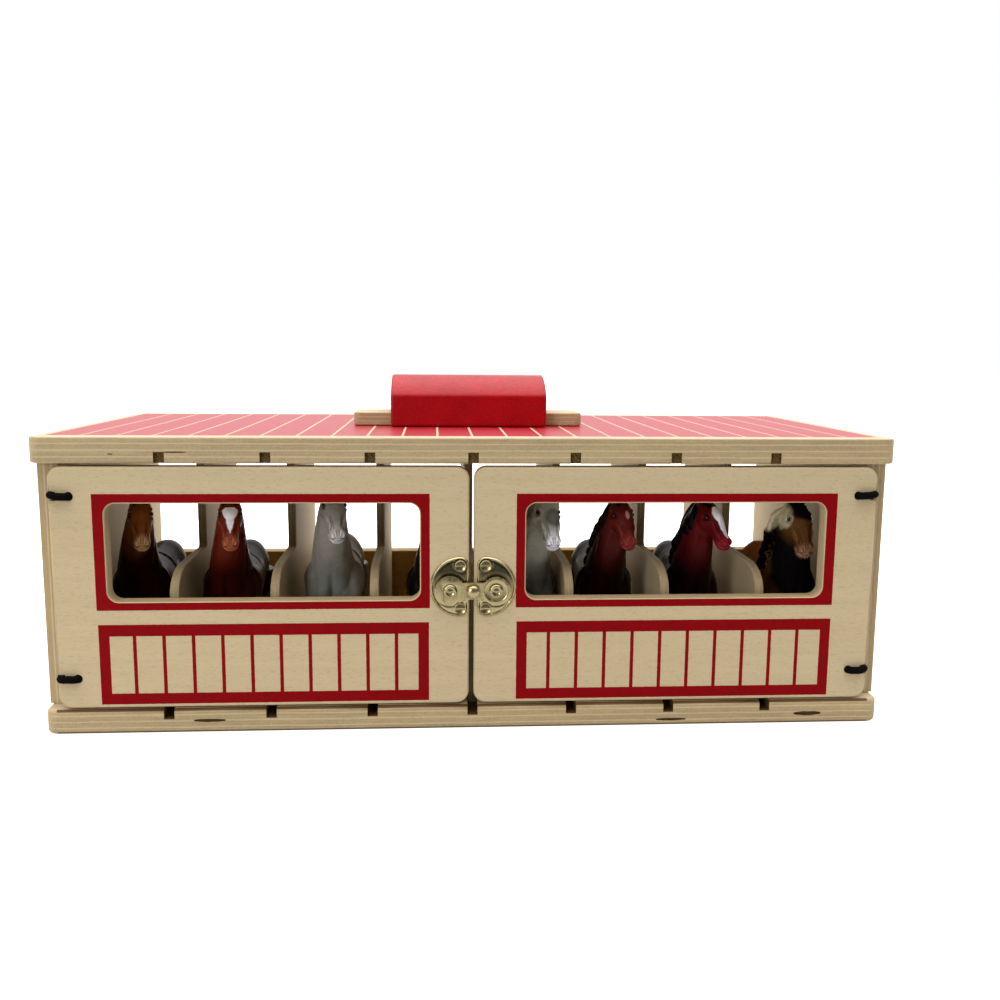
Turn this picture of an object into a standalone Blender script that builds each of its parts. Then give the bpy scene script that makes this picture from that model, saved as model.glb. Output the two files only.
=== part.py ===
"""Take-along toy horse stable: a plywood box with eight stalls, two doors hung on elastic
cords, a brass hook latch, a carrying handle and eight toy horses.

Metres, +Z up, +X along the length, the doors facing -Y. The origin is the centre of the
footprint at the underside of the base.
"""

import math

import bmesh
import bpy
from mathutils import Matrix, Vector

MM = 0.001

# Fits
FIT_GAP = 0.25 * MM
OVERRUN = 6.0 * MM

# Panels
ROOF_OVERHANG = 1.0 * MM
ROOF_THICKNESS = 10.4 * MM
BASE_LENGTH = 344.0 * MM
BASE_DEPTH = 152.0 * MM
BASE_THICKNESS = 10.4 * MM
STALL_HEIGHT = 99.5 * MM
PANEL_CORNER_RADIUS = 5.0 * MM
PANEL_EDGE_ROUNDING = 0.8 * MM
GROOVE_DEPTH = 4.5 * MM
WALL_HOUSING_DEPTH = 2.0 * MM

# Walls and the low rail behind the horses
WALL_THICKNESS = 8.5 * MM
WALL_BACK_MARGIN = 2.0 * MM
RAIL_THICKNESS = 8.5 * MM
RAIL_HEIGHT = 36.4 * MM
SOFT_EDGE = 0.6 * MM

# Stall dividers
STALL_COUNT = 8
DIVIDER_THICKNESS = 3.7 * MM
DIVIDER_SETBACK = 14.0 * MM
DIVIDER_LOW_HEIGHT = 53.6 * MM
DIVIDER_SHOULDER_DEPTH = 17.0 * MM
DIVIDER_SHOULDER_HEIGHT = 10.0 * MM
DIVIDER_POST_SETBACK = 67.0 * MM

# Doors
DOOR_THICKNESS = 7.0 * MM
DOOR_BACK_GAP = 0.5 * MM
DOOR_END_GAP = 0.7 * MM
DOOR_MIDDLE_GAP = 2.0 * MM
DOOR_CORNER_RADIUS = 5.0 * MM
WALL_STRIP = 6.4 * MM
WINDOW_HEIGHT = 39.4 * MM
WINDOW_TOP_RAIL = 15.1 * MM
WINDOW_MIDDLE_STILE = 20.4 * MM
WINDOW_OUTER_STILE = 21.1 * MM
WINDOW_CORNER_RADIUS = 4.3 * MM

# Elastic hinge cords
CORD_DIAMETER = 2.6 * MM
CORD_END_MARGIN = 12.2 * MM
CORD_FACE_SPAN = 8.4 * MM
CORD_NOTCH_DEPTH = 1.4 * MM
CORD_WALL_DEPTH = 12.0 * MM
CORD_DOOR_DEPTH = 5.0 * MM
CORD_SAG = 0.9 * MM

# Latch
LATCH_HEIGHT = 48.4 * MM
LATCH_GAP = 0.15 * MM
PLATE_THICKNESS = 0.8 * MM
PLATE_RADIUS = 12.3 * MM
PLATE_EDGE_MARGIN = 0.6 * MM
PLATE_CORNER_RADIUS = 3.5 * MM
PLATE_RISE = 1.2 * MM
NAIL_SHANK_RADIUS = 0.6 * MM
NAIL_LENGTH = 5.0 * MM
NAIL_HEAD_RADIUS = 2.2 * MM
NAIL_HEAD_HEIGHT = 0.6 * MM
RIVET_SPREAD = 18.6 * MM
RIVET_SHANK_RADIUS = 1.5 * MM
RIVET_DOOR_DEPTH = 4.5 * MM
RIVET_HEAD_RADIUS = 2.6 * MM
RIVET_HEAD_HEIGHT = 1.3 * MM
HOOK_THICKNESS = 1.1 * MM
HOOK_BAR_HEIGHT = 6.8 * MM
HOOK_PIVOT_LOBE_RADIUS = 5.8 * MM
HOOK_CATCH_LOBE_RADIUS = 6.2 * MM
HOOK_SLOT_CLEARANCE = 0.3 * MM
KNOB_RADIUS = 2.7 * MM
KNOB_HEIGHT = 2.9 * MM
KNOB_SHANK_RADIUS = 0.9 * MM

# Handle
HANDLE_BLOCK_LENGTH = 70.2 * MM
HANDLE_BLOCK_DEPTH = 42.0 * MM
HANDLE_SHOULDER_HEIGHT = 14.3 * MM
HANDLE_BLOCK_HEIGHT = 23.1 * MM
HANDLE_PLATE_LENGTH = 104.6 * MM
HANDLE_PLATE_DEPTH = 26.0 * MM
HANDLE_PLATE_THICKNESS = 6.2 * MM
HANDLE_PLATE_CORNER_RADIUS = 3.0 * MM
SCREW_SHANK_RADIUS = 1.8 * MM
SCREW_HEAD_RADIUS = 3.5 * MM
SCREW_HEAD_HEIGHT = 2.4 * MM
SCREW_GRIP = 9.0 * MM
SCREW_SPREAD = 40.875 * MM

# Horses
HORSE_WITHERS_HEIGHT = 54.0 * MM
HORSE_CHEST_SETBACK = 30.0 * MM
HORSE_SKIN_STEP = 1.2 * MM
HORSE_FACET_SHARE = 0.045

ARC_STEPS = 4
ROUND_SIDES = 14
HOLE_SIDES = 12
RING_SIDES = 12

# Places that follow from the sizes above
ROOF_LENGTH = BASE_LENGTH + 2 * ROOF_OVERHANG
ROOF_DEPTH = BASE_DEPTH + 2 * ROOF_OVERHANG
LATCH_REACH = 4 * LATCH_GAP + PLATE_THICKNESS + NAIL_HEAD_HEIGHT + HOOK_THICKNESS + KNOB_HEIGHT
FRONT_Y = (LATCH_REACH - ROOF_DEPTH) / 2
BASE_TOP = BASE_THICKNESS
ROOF_BOTTOM = BASE_TOP + STALL_HEIGHT
ROOF_TOP = ROOF_BOTTOM + ROOF_THICKNESS
WALL_OUTER_X = BASE_LENGTH / 2
WALL_INNER_X = WALL_OUTER_X - WALL_THICKNESS
WALL_FRONT_Y = FRONT_Y + DOOR_THICKNESS + DOOR_BACK_GAP
WALL_BACK_Y = FRONT_Y + BASE_DEPTH - WALL_BACK_MARGIN
RAIL_FRONT_Y = WALL_BACK_Y - RAIL_THICKNESS
STALL_PITCH = 2 * WALL_INNER_X / STALL_COUNT
DOOR_OUTER_X = WALL_OUTER_X - WALL_STRIP
DOOR_INNER_X = DOOR_MIDDLE_GAP / 2
DOOR_BOTTOM = BASE_TOP + DOOR_END_GAP
DOOR_TOP = ROOF_BOTTOM - DOOR_END_GAP
DOOR_BACK_Y = FRONT_Y + DOOR_THICKNESS
HINGE_X = (DOOR_OUTER_X + WALL_OUTER_X) / 2
HINGE_Y = (DOOR_BACK_Y + WALL_FRONT_Y) / 2
CORD_RADIUS = CORD_DIAMETER / 2
CORD_OFFSET = CORD_RADIUS + FIT_GAP
CORD_WALL_X = DOOR_OUTER_X - CORD_NOTCH_DEPTH + CORD_OFFSET
CORD_DOOR_X = DOOR_OUTER_X - CORD_FACE_SPAN
CORD_LOW_Z = DOOR_BOTTOM + CORD_END_MARGIN
CORD_HIGH_Z = DOOR_TOP - CORD_END_MARGIN
LATCH_Z = BASE_TOP + LATCH_HEIGHT
RIVET_X = RIVET_SPREAD / 2
PLATE_INNER_X = DOOR_INNER_X + PLATE_EDGE_MARGIN
PLATE_CENTRE_X = PLATE_INNER_X + PLATE_CORNER_RADIUS
PLATE_Z = LATCH_Z + PLATE_RISE
NAIL_RISE = PLATE_RADIUS - PLATE_CORNER_RADIUS
PLATE_BACK_Y = FRONT_Y - LATCH_GAP
PLATE_FRONT_Y = PLATE_BACK_Y - PLATE_THICKNESS
HOOK_BACK_Y = PLATE_FRONT_Y - 2 * LATCH_GAP - NAIL_HEAD_HEIGHT
HOOK_FRONT_Y = HOOK_BACK_Y - HOOK_THICKNESS
HEAD_BACK_Y = HOOK_FRONT_Y - LATCH_GAP
HANDLE_Y = FRONT_Y + ROOF_DEPTH / 2
HORSE_GROUND_Z = BASE_TOP + FIT_GAP

# Colours, as sRGB hex
PLY_PALE = "c9b08a"
PLY_EDGE = "b99a6c"
PAINT_RED = "b5121f"
ROOF_RED = "c92d3c"
BRASS = "a79a62"
STEEL = "b4b4b0"
CORD_BLACK = "141214"

# Stations of a horse, each value a share of the height at the withers. Torso, neck, head and
# tail rows hold place behind the chest, height, half width, half thickness across the run, and
# the part of the head's pose that reaches the station.
TORSO_SHARES = (
    (0.035, 0.71, 0.095, 0.09, 0.0),
    (0.085, 0.71, 0.188, 0.185, 0.0),
    (0.21, 0.735, 0.228, 0.245, 0.0),
    (0.40, 0.735, 0.220, 0.235, 0.0),
    (0.62, 0.745, 0.200, 0.22, 0.0),
    (0.83, 0.77, 0.175, 0.205, 0.0),
    (1.00, 0.775, 0.165, 0.215, 0.0),
    (1.14, 0.75, 0.130, 0.19, 0.0),
    (1.23, 0.73, 0.07, 0.11, 0.0),
)
NECK_SHARES = (
    (0.22, 0.72, 0.17, 0.20, 0.0),
    (0.17, 0.90, 0.168, 0.215, 0.10),
    (0.105, 1.05, 0.146, 0.18, 0.35),
    (0.06, 1.20, 0.124, 0.145, 0.65),
    (0.04, 1.33, 0.100, 0.115, 0.9),
    (0.02, 1.43, 0.075, 0.085, 1.0),
)
HEAD_SHARES = (
    (0.03, 1.46, 0.055, 0.055, 1.0),
    (-0.015, 1.43, 0.085, 0.095, 1.0),
    (-0.075, 1.365, 0.092, 0.105, 1.0),
    (-0.135, 1.30, 0.077, 0.083, 1.0),
    (-0.180, 1.24, 0.065, 0.066, 1.0),
    (-0.212, 1.19, 0.069, 0.064, 1.0),
    (-0.232, 1.16, 0.055, 0.047, 1.0),
)
CREST_SHARES = (
    (0.335, 0.97, 0.02, 0.06, 0.0),
    (0.29, 1.10, 0.024, 0.06, 0.30),
    (0.215, 1.25, 0.026, 0.06, 0.65),
    (0.13, 1.39, 0.026, 0.055, 0.95),
    (0.05, 1.49, 0.026, 0.04, 1.0),
    (-0.01, 1.47, 0.02, 0.03, 1.0),
)
TAIL_SHARES = (
    (1.17, 0.86, 0.035, 0.04, 0.0),
    (1.27, 0.83, 0.05, 0.05, 0.0),
    (1.32, 0.69, 0.06, 0.065, 0.0),
    (1.335, 0.50, 0.052, 0.06, 0.0),
    (1.32, 0.34, 0.025, 0.03, 0.0),
)
# Legs and ears hold sideways place, place behind the chest, height and two half widths.
FORELEG_SHARES = (
    (0.115, 0.20, 0.66, 0.085, 0.12),
    (0.118, 0.195, 0.52, 0.068, 0.085),
    (0.112, 0.18, 0.36, 0.045, 0.052),
    (0.110, 0.175, 0.29, 0.045, 0.050),
    (0.108, 0.18, 0.18, 0.030, 0.036),
    (0.108, 0.178, 0.105, 0.040, 0.044),
    (0.108, 0.16, 0.065, 0.040, 0.048),
    (0.108, 0.155, 0.0, 0.055, 0.068),
)
HINDLEG_SHARES = (
    (0.105, 1.02, 0.72, 0.10, 0.19),
    (0.125, 1.00, 0.56, 0.085, 0.145),
    (0.118, 1.08, 0.44, 0.055, 0.075),
    (0.112, 1.145, 0.36, 0.045, 0.055),
    (0.108, 1.115, 0.26, 0.034, 0.042),
    (0.108, 1.09, 0.18, 0.032, 0.038),
    (0.108, 1.08, 0.105, 0.040, 0.046),
    (0.108, 1.06, 0.065, 0.042, 0.050),
    (0.108, 1.05, 0.0, 0.058, 0.070),
)
EAR_SHARES = (
    (0.050, 0.02, 1.46, 0.026, 0.026),
    (0.056, 0.015, 1.53, 0.030, 0.022),
    (0.060, 0.005, 1.60, 0.018, 0.013),
    (0.062, 0.0, 1.645, 0.004, 0.004),
)

# The horses, left to right: how far each stands off its stall's middle as a share of the pitch,
# its size against the sizes above, its head's pose and its coat. A pose is the head's turn in
# degrees, the neck's lean to the right as a share of the height, and the head's own size.
HORSE_SHARES = (
    (-0.008, 1.00, (17.0, 0.070, 1.0), "4a2418"),
    (-0.055, 1.00, (9.5, 0.046, 1.0), "5c2014"),
    (0.037, 1.05, (14.0, 0.010, 1.0), "8d9296"),
    (0.120, 1.00, (5.0, 0.030, 1.0), "141416"),
    (0.130, 1.01, (9.5, 0.120, 1.05), "a9adab"),
    (-0.018, 0.99, (13.0, 0.062, 1.0), "551a18"),
    (-0.050, 0.98, (35.0, 0.022, 1.0), "5a1d1a"),
    (0.050, 0.97, (8.0, -0.070, 1.3), "4a3220"),
)


def linear(value):
    """One sRGB channel, 0 to 1, as linear light."""
    if value <= 0.04045:
        return value / 12.92
    return ((value + 0.055) / 1.055) ** 2.4


def finish(name, colour, roughness, metallic=0.0):
    """A plain material in the given sRGB hex colour."""
    material = bpy.data.materials.new(name)
    material.use_nodes = True
    shader = material.node_tree.nodes["Principled BSDF"]
    channels = [linear(int(colour[i : i + 2], 16) / 255) for i in (0, 2, 4)]
    shader.inputs["Base Color"].default_value = (*channels, 1.0)
    shader.inputs["Roughness"].default_value = roughness
    shader.inputs["Metallic"].default_value = metallic
    material.diffuse_color = (*channels, 1.0)
    return material


def add_object(name, bm, material=None):
    """Turns a bmesh into a named object with its faces pointing out."""
    bmesh.ops.recalc_face_normals(bm, faces=bm.faces)
    mesh = bpy.data.meshes.new(name)
    bm.to_mesh(mesh)
    bm.free()
    if material:
        mesh.materials.append(material)
    item = bpy.data.objects.new(name, mesh)
    bpy.context.scene.collection.objects.link(item)
    return item


def arc(centre, radii, start, end, steps=ARC_STEPS):
    """Points on an ellipse's arc, both ends included, angles in degrees."""
    points = []
    for i in range(steps + 1):
        angle = math.radians(start + (end - start) * i / steps)
        points.append((centre[0] + radii[0] * math.cos(angle), centre[1] + radii[1] * math.sin(angle)))
    return points


def rounded_rectangle(low, high, radius):
    """Corner points of a rectangle with round corners, anticlockwise."""
    radii = (radius, radius)
    return (
        arc((high[0] - radius, high[1] - radius), radii, 0, 90)
        + arc((low[0] + radius, high[1] - radius), radii, 90, 180)
        + arc((low[0] + radius, low[1] + radius), radii, 180, 270)
        + arc((high[0] - radius, low[1] + radius), radii, 270, 360)
    )


def circle(centre, radius, sides=HOLE_SIDES):
    return arc(centre, (radius, radius), 0, 360 * (sides - 1) / sides, sides - 1)


def spread(plane, first, second, depth):
    """A point of an outline in plane XY, XZ or YZ, at the given depth across that plane."""
    if plane == "XY":
        return (first, second, depth)
    if plane == "XZ":
        return (first, depth, second)
    return (depth, first, second)


def add_prism(bm, outline, plane, near, far):
    """Extrudes an outline across its plane from near to far, as one closed body."""
    face = bm.faces.new([bm.verts.new(spread(plane, u, v, near)) for u, v in outline])
    raised = bmesh.ops.extrude_face_region(bm, geom=[face])["geom"]
    shift = Vector(spread(plane, 0, 0, far - near))
    bmesh.ops.translate(bm, verts=[v for v in raised if isinstance(v, bmesh.types.BMVert)], vec=shift)


def prism(name, outline, plane, near, far, material=None):
    bm = bmesh.new()
    add_prism(bm, outline, plane, near, far)
    return add_object(name, bm, material)


def rectangle(low, high):
    return [(low[0], low[1]), (high[0], low[1]), (high[0], high[1]), (low[0], high[1])]


def add_turned(bm, profile, foot, axis, sides):
    """Turns a profile of (radius, height) points about an axis through foot, ends closed."""
    turn = Vector((0, 0, 1)).rotation_difference(Vector(axis)).to_matrix()
    rings = []
    for radius, height in profile:
        if radius <= 0:
            rings.append([bm.verts.new(Vector(foot) + turn @ Vector((0, 0, height)))])
            continue
        ring = circle((0, 0), radius, sides)
        rings.append([bm.verts.new(Vector(foot) + turn @ Vector((x, y, height))) for x, y in ring])
    skin_rings(bm, rings)


def skin_rings(bm, rings):
    """Joins rings of points, one after the other, and closes an end ring with a face."""
    for lower, upper in zip(rings, rings[1:]):
        count = max(len(lower), len(upper))
        for i in range(count):
            j = (i + 1) % count
            if len(lower) == 1:
                bm.faces.new((lower[0], upper[j], upper[i]))
            elif len(upper) == 1:
                bm.faces.new((lower[i], lower[j], upper[0]))
            else:
                bm.faces.new((lower[i], lower[j], upper[j], upper[i]))
    if len(rings[0]) > 1:
        bm.faces.new(reversed(rings[0]))
    if len(rings[-1]) > 1:
        bm.faces.new(rings[-1])


def turned(name, profile, foot, axis, material=None, sides=ROUND_SIDES):
    bm = bmesh.new()
    add_turned(bm, profile, foot, axis, sides)
    item = add_object(name, bm, material)
    item.data.shade_smooth()
    item.data.set_sharp_from_angle(angle=math.radians(35))
    return item


def soften(item, width):
    """Rounds the sharp edges of a piece a little."""
    bevel = item.modifiers.new("soft_edges", "BEVEL")
    bevel.width = width
    bevel.segments = 1
    bevel.limit_method = "ANGLE"
    bevel.angle_limit = math.radians(40)


def combine(item, other, operation):
    """Cuts other out of item, or joins it on, and leaves other as a hidden helper."""
    change = item.modifiers.new(other.name, "BOOLEAN")
    change.operation = operation
    change.solver = "EXACT"
    change.object = other
    other.hide_render = True
    other.display_type = "WIRE"


def cut(item, cutter):
    combine(item, cutter, "DIFFERENCE")


def add_pivot(name, place):
    """An empty on a joint's axis, which carries the pieces that move with it."""
    pivot = bpy.data.objects.new(name, None)
    pivot.location = place
    bpy.context.scene.collection.objects.link(pivot)
    return pivot


def carry(pivot, place, *items):
    """Parents pieces to a pivot that stands at place, without moving them."""
    for item in items:
        item.parent = pivot
        item.matrix_parent_inverse = Matrix.Translation(-Vector(place))


def divider_places():
    return [(i - STALL_COUNT / 2) * STALL_PITCH for i in range(1, STALL_COUNT)]


def groove_cutter(name, low_z, high_z):
    """The grooves of all dividers, open at the front edge and stopped at the rail."""
    half = DIVIDER_THICKNESS / 2 + FIT_GAP
    bm = bmesh.new()
    for x in divider_places():
        outline = rectangle((x - half, FRONT_Y - OVERRUN), (x + half, RAIL_FRONT_Y))
        add_prism(bm, outline, "XY", low_z, high_z)
    return add_object(name, bm)


def housing_cutter(name, low_z, high_z):
    """The stopped housings that the two side walls stand in."""
    bm = bmesh.new()
    for side in (-1, 1):
        inner = side * (WALL_INNER_X - FIT_GAP)
        outer = side * (WALL_OUTER_X - WALL_HOUSING_DEPTH + FIT_GAP)
        outline = rectangle(
            (min(inner, outer), WALL_FRONT_Y - FIT_GAP),
            (max(inner, outer), WALL_BACK_Y + FIT_GAP),
        )
        add_prism(bm, outline, "XY", low_z, high_z)
    return add_object(name, bm)


def screw_places():
    return [-SCREW_SPREAD / 2, SCREW_SPREAD / 2]


def screw_cutter(name):
    """Clearance for both handle screws: shank and countersunk head."""
    bm = bmesh.new()
    grown = SCREW_HEAD_RADIUS + FIT_GAP
    shank = SCREW_SHANK_RADIUS + FIT_GAP
    top = ROOF_THICKNESS + HANDLE_PLATE_THICKNESS + SCREW_GRIP + FIT_GAP
    for x in screw_places():
        profile = [(0, -OVERRUN), (grown, -OVERRUN), (grown, FIT_GAP)]
        profile.append((shank, SCREW_HEAD_HEIGHT + FIT_GAP))
        profile += [(shank, top), (0, top)]
        add_turned(bm, profile, (x, HANDLE_Y, ROOF_BOTTOM), (0, 0, 1), HOLE_SIDES)
    return add_object(name, bm)


def make_base(paint):
    low = (-BASE_LENGTH / 2, FRONT_Y)
    high = (BASE_LENGTH / 2, FRONT_Y + BASE_DEPTH)
    outline = rounded_rectangle(low, high, PANEL_CORNER_RADIUS)
    base = prism("base_panel", outline, "XY", 0, BASE_THICKNESS, paint)
    soften(base, PANEL_EDGE_ROUNDING)
    cut(base, groove_cutter("base_grooves", BASE_TOP - GROOVE_DEPTH, BASE_TOP + OVERRUN))
    cut(base, housing_cutter("base_housings", BASE_TOP - WALL_HOUSING_DEPTH, BASE_TOP + OVERRUN))


def make_roof(paint):
    low = (-ROOF_LENGTH / 2, FRONT_Y)
    high = (ROOF_LENGTH / 2, FRONT_Y + ROOF_DEPTH)
    outline = rounded_rectangle(low, high, PANEL_CORNER_RADIUS)
    roof = prism("roof_panel", outline, "XY", ROOF_BOTTOM, ROOF_TOP, paint)
    soften(roof, PANEL_EDGE_ROUNDING)
    cut(roof, groove_cutter("roof_grooves", ROOF_BOTTOM - OVERRUN, ROOF_BOTTOM + GROOVE_DEPTH))
    housing_top = ROOF_BOTTOM + WALL_HOUSING_DEPTH
    cut(roof, housing_cutter("roof_housings", ROOF_BOTTOM - OVERRUN, housing_top))
    cut(roof, screw_cutter("roof_screw_holes"))


def make_side_wall(name, side, paint):
    """A side wall with a shouldered tongue at each end, and a hole for each hinge cord."""
    bm = bmesh.new()
    inner = side * WALL_INNER_X
    outer = side * WALL_OUTER_X
    tongue = side * (WALL_OUTER_X - WALL_HOUSING_DEPTH)
    reach = WALL_HOUSING_DEPTH - FIT_GAP
    shoulder_low = BASE_TOP + FIT_GAP
    shoulder_high = ROOF_BOTTOM - FIT_GAP
    outline = [(inner, BASE_TOP - reach), (tongue, BASE_TOP - reach), (tongue, shoulder_low)]
    outline += [(outer, shoulder_low), (outer, shoulder_high), (tongue, shoulder_high)]
    outline += [(tongue, ROOF_BOTTOM + reach), (inner, ROOF_BOTTOM + reach)]
    add_prism(bm, outline, "XZ", WALL_FRONT_Y, WALL_BACK_Y)
    wall = add_object(name, bm, paint)
    holes = bmesh.new()
    radius = CORD_RADIUS + FIT_GAP
    profile = [(0, -OVERRUN), (radius, -OVERRUN), (radius, CORD_WALL_DEPTH + FIT_GAP)]
    profile.append((0, CORD_WALL_DEPTH + FIT_GAP))
    for z in (CORD_LOW_Z, CORD_HIGH_Z):
        add_turned(holes, profile, (side * CORD_WALL_X, WALL_FRONT_Y, z), (0, 1, 0), HOLE_SIDES)
    cut(wall, add_object(name + "_cord_holes", holes))


def make_back_rail(paint):
    edge = WALL_INNER_X - FIT_GAP
    outline = rectangle((-edge, BASE_TOP + FIT_GAP), (edge, BASE_TOP + RAIL_HEIGHT))
    rail = prism("back_rail", outline, "XZ", RAIL_FRONT_Y, WALL_BACK_Y, paint)
    soften(rail, SOFT_EDGE)


def divider_outline():
    """The divider from the side: low and round shouldered in front, a full post behind."""
    front = FRONT_Y + DIVIDER_SETBACK
    post = FRONT_Y + DIVIDER_POST_SETBACK
    back = RAIL_FRONT_Y - FIT_GAP
    foot = BASE_TOP - GROOVE_DEPTH + FIT_GAP
    head = ROOF_BOTTOM + GROOVE_DEPTH - FIT_GAP
    low_top = BASE_TOP + DIVIDER_LOW_HEIGHT
    centre = (front + DIVIDER_SHOULDER_DEPTH, low_top - DIVIDER_SHOULDER_HEIGHT)
    shoulder = arc(centre, (DIVIDER_SHOULDER_DEPTH, DIVIDER_SHOULDER_HEIGHT), 180, 90, 2 * ARC_STEPS)
    return [(front, foot)] + shoulder + [(post, low_top), (post, head), (back, head), (back, foot)]


def make_dividers(paint):
    half = DIVIDER_THICKNESS / 2
    for i, x in enumerate(divider_places()):
        prism(f"stall_divider_{i + 1}", divider_outline(), "YZ", x - half, x + half, paint)


def door_holes(name, side):
    """Cord holes and notches, and the pilot holes of the latch's nails and rivet."""
    bm = bmesh.new()
    cord = CORD_RADIUS + FIT_GAP
    through = DOOR_THICKNESS + 2 * OVERRUN
    for z in (CORD_LOW_Z, CORD_HIGH_Z):
        foot = (side * CORD_DOOR_X, FRONT_Y - OVERRUN, z)
        add_turned(bm, [(0, 0), (cord, 0), (cord, through), (0, through)], foot, (0, 1, 0), HOLE_SIDES)
        near = side * (DOOR_OUTER_X - CORD_NOTCH_DEPTH)
        far = side * (DOOR_OUTER_X + OVERRUN)
        outline = rectangle((min(near, far), z - cord), (max(near, far), z + cord))
        add_prism(bm, outline, "XZ", FRONT_Y - OVERRUN, DOOR_BACK_Y + OVERRUN)
    pilots = [(PLATE_CENTRE_X, PLATE_Z + NAIL_RISE, NAIL_SHANK_RADIUS, NAIL_LENGTH)]
    pilots.append((PLATE_CENTRE_X, PLATE_Z - NAIL_RISE, NAIL_SHANK_RADIUS, NAIL_LENGTH))
    pilots.append((RIVET_X, LATCH_Z, RIVET_SHANK_RADIUS, RIVET_DOOR_DEPTH))
    for x, z, shank, length in pilots:
        wide = shank + FIT_GAP
        deep = length + FIT_GAP
        profile = [(0, -OVERRUN), (wide, -OVERRUN), (wide, deep), (0, deep)]
        add_turned(bm, profile, (side * x, FRONT_Y, z), (0, 1, 0), HOLE_SIDES)
    return add_object(name, bm)


def make_door(name, side, paint):
    near = side * DOOR_INNER_X
    far = side * DOOR_OUTER_X
    low = (min(near, far), DOOR_BOTTOM)
    high = (max(near, far), DOOR_TOP)
    outline = rounded_rectangle(low, high, DOOR_CORNER_RADIUS)
    door = prism(name, outline, "XZ", FRONT_Y, DOOR_BACK_Y, paint)
    soften(door, SOFT_EDGE)
    near = side * (DOOR_INNER_X + WINDOW_MIDDLE_STILE)
    far = side * (DOOR_OUTER_X - WINDOW_OUTER_STILE)
    top = DOOR_TOP - WINDOW_TOP_RAIL
    low = (min(near, far), top - WINDOW_HEIGHT)
    high = (max(near, far), top)
    window = rounded_rectangle(low, high, WINDOW_CORNER_RADIUS)
    cut(door, prism(name + "_window", window, "XZ", FRONT_Y - OVERRUN, DOOR_BACK_Y + OVERRUN))
    cut(door, door_holes(name + "_holes", side))
    return door


def cord_route(side, z, sag):
    """From inside the wall, round the door's edge, across its face and into its hole."""
    edge = DOOR_OUTER_X - CORD_NOTCH_DEPTH
    rim = CORD_DOOR_X + CORD_OFFSET
    across = (edge, FRONT_Y), (rim, FRONT_Y)
    flat = [(CORD_WALL_X, WALL_FRONT_Y + CORD_WALL_DEPTH), (CORD_WALL_X, WALL_FRONT_Y)]
    radii = (CORD_OFFSET, CORD_OFFSET)
    flat += arc(across[0], radii, 0, -90)
    run = edge - rim
    flat += [(edge - run * i / ARC_STEPS, FRONT_Y - CORD_OFFSET) for i in range(1, ARC_STEPS)]
    flat += arc(across[1], radii, -90, -180)
    flat.append((CORD_DOOR_X, FRONT_Y + CORD_DOOR_DEPTH))
    route = []
    for x, y in flat:
        share = min(max((edge - x) / run, 0), 1)
        route.append((side * x, y, z - sag * math.sin(math.pi * share)))
    return route


def make_cord(name, side, z, sag, paint):
    curve = bpy.data.curves.new(name, "CURVE")
    curve.dimensions = "3D"
    curve.bevel_depth = CORD_RADIUS
    curve.bevel_resolution = 2
    curve.use_fill_caps = True
    route = cord_route(side, z, sag)
    spline = curve.splines.new("POLY")
    spline.points.add(len(route) - 1)
    for point, place in zip(spline.points, route):
        point.co = (*place, 1)
    curve.materials.append(paint)
    item = bpy.data.objects.new(name, curve)
    bpy.context.scene.collection.objects.link(item)
    return item


def plate_outline(side):
    """A latch plate: straight beside the doors' gap, round on the outside."""
    corner = (PLATE_CORNER_RADIUS, PLATE_CORNER_RADIUS)
    bow = (PLATE_RADIUS, PLATE_RADIUS)
    points = arc((PLATE_CENTRE_X, PLATE_Z), bow, -90, 90, 4 * ARC_STEPS)
    points += arc((PLATE_CENTRE_X, PLATE_Z + NAIL_RISE), corner, 90, 180)[1:]
    points += arc((PLATE_CENTRE_X, PLATE_Z - NAIL_RISE), corner, 180, 270)[:-1]
    return [(side * x, z) for x, z in points]


def make_plate(name, side, paint):
    plate = prism(name, plate_outline(side), "XZ", PLATE_FRONT_Y, PLATE_BACK_Y, paint)
    bm = bmesh.new()
    for x, z, shank in (
        (PLATE_CENTRE_X, PLATE_Z + NAIL_RISE, NAIL_SHANK_RADIUS),
        (PLATE_CENTRE_X, PLATE_Z - NAIL_RISE, NAIL_SHANK_RADIUS),
        (RIVET_X, LATCH_Z, RIVET_SHANK_RADIUS),
    ):
        outline = circle((side * x, z), shank + FIT_GAP)
        add_prism(bm, outline, "XZ", PLATE_FRONT_Y - OVERRUN, FRONT_Y + OVERRUN)
    cut(plate, add_object(name + "_holes", bm))
    return plate


def fastener(name, place, shank, shank_end, head_back, head_radius, head_height, paint):
    """A domed head on a shank, along -Y: nail, rivet or knob."""
    x, z = place
    length = shank_end - head_back
    profile = [(0, 0), (shank, 0), (shank, length)]
    for radius, height in arc((0, length), (head_radius, head_height), 0, 90):
        profile.append((radius, height))
    profile[-1] = (0, length + head_height)
    return turned(name, profile, (x, shank_end, z), (0, -1, 0), paint)


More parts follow.
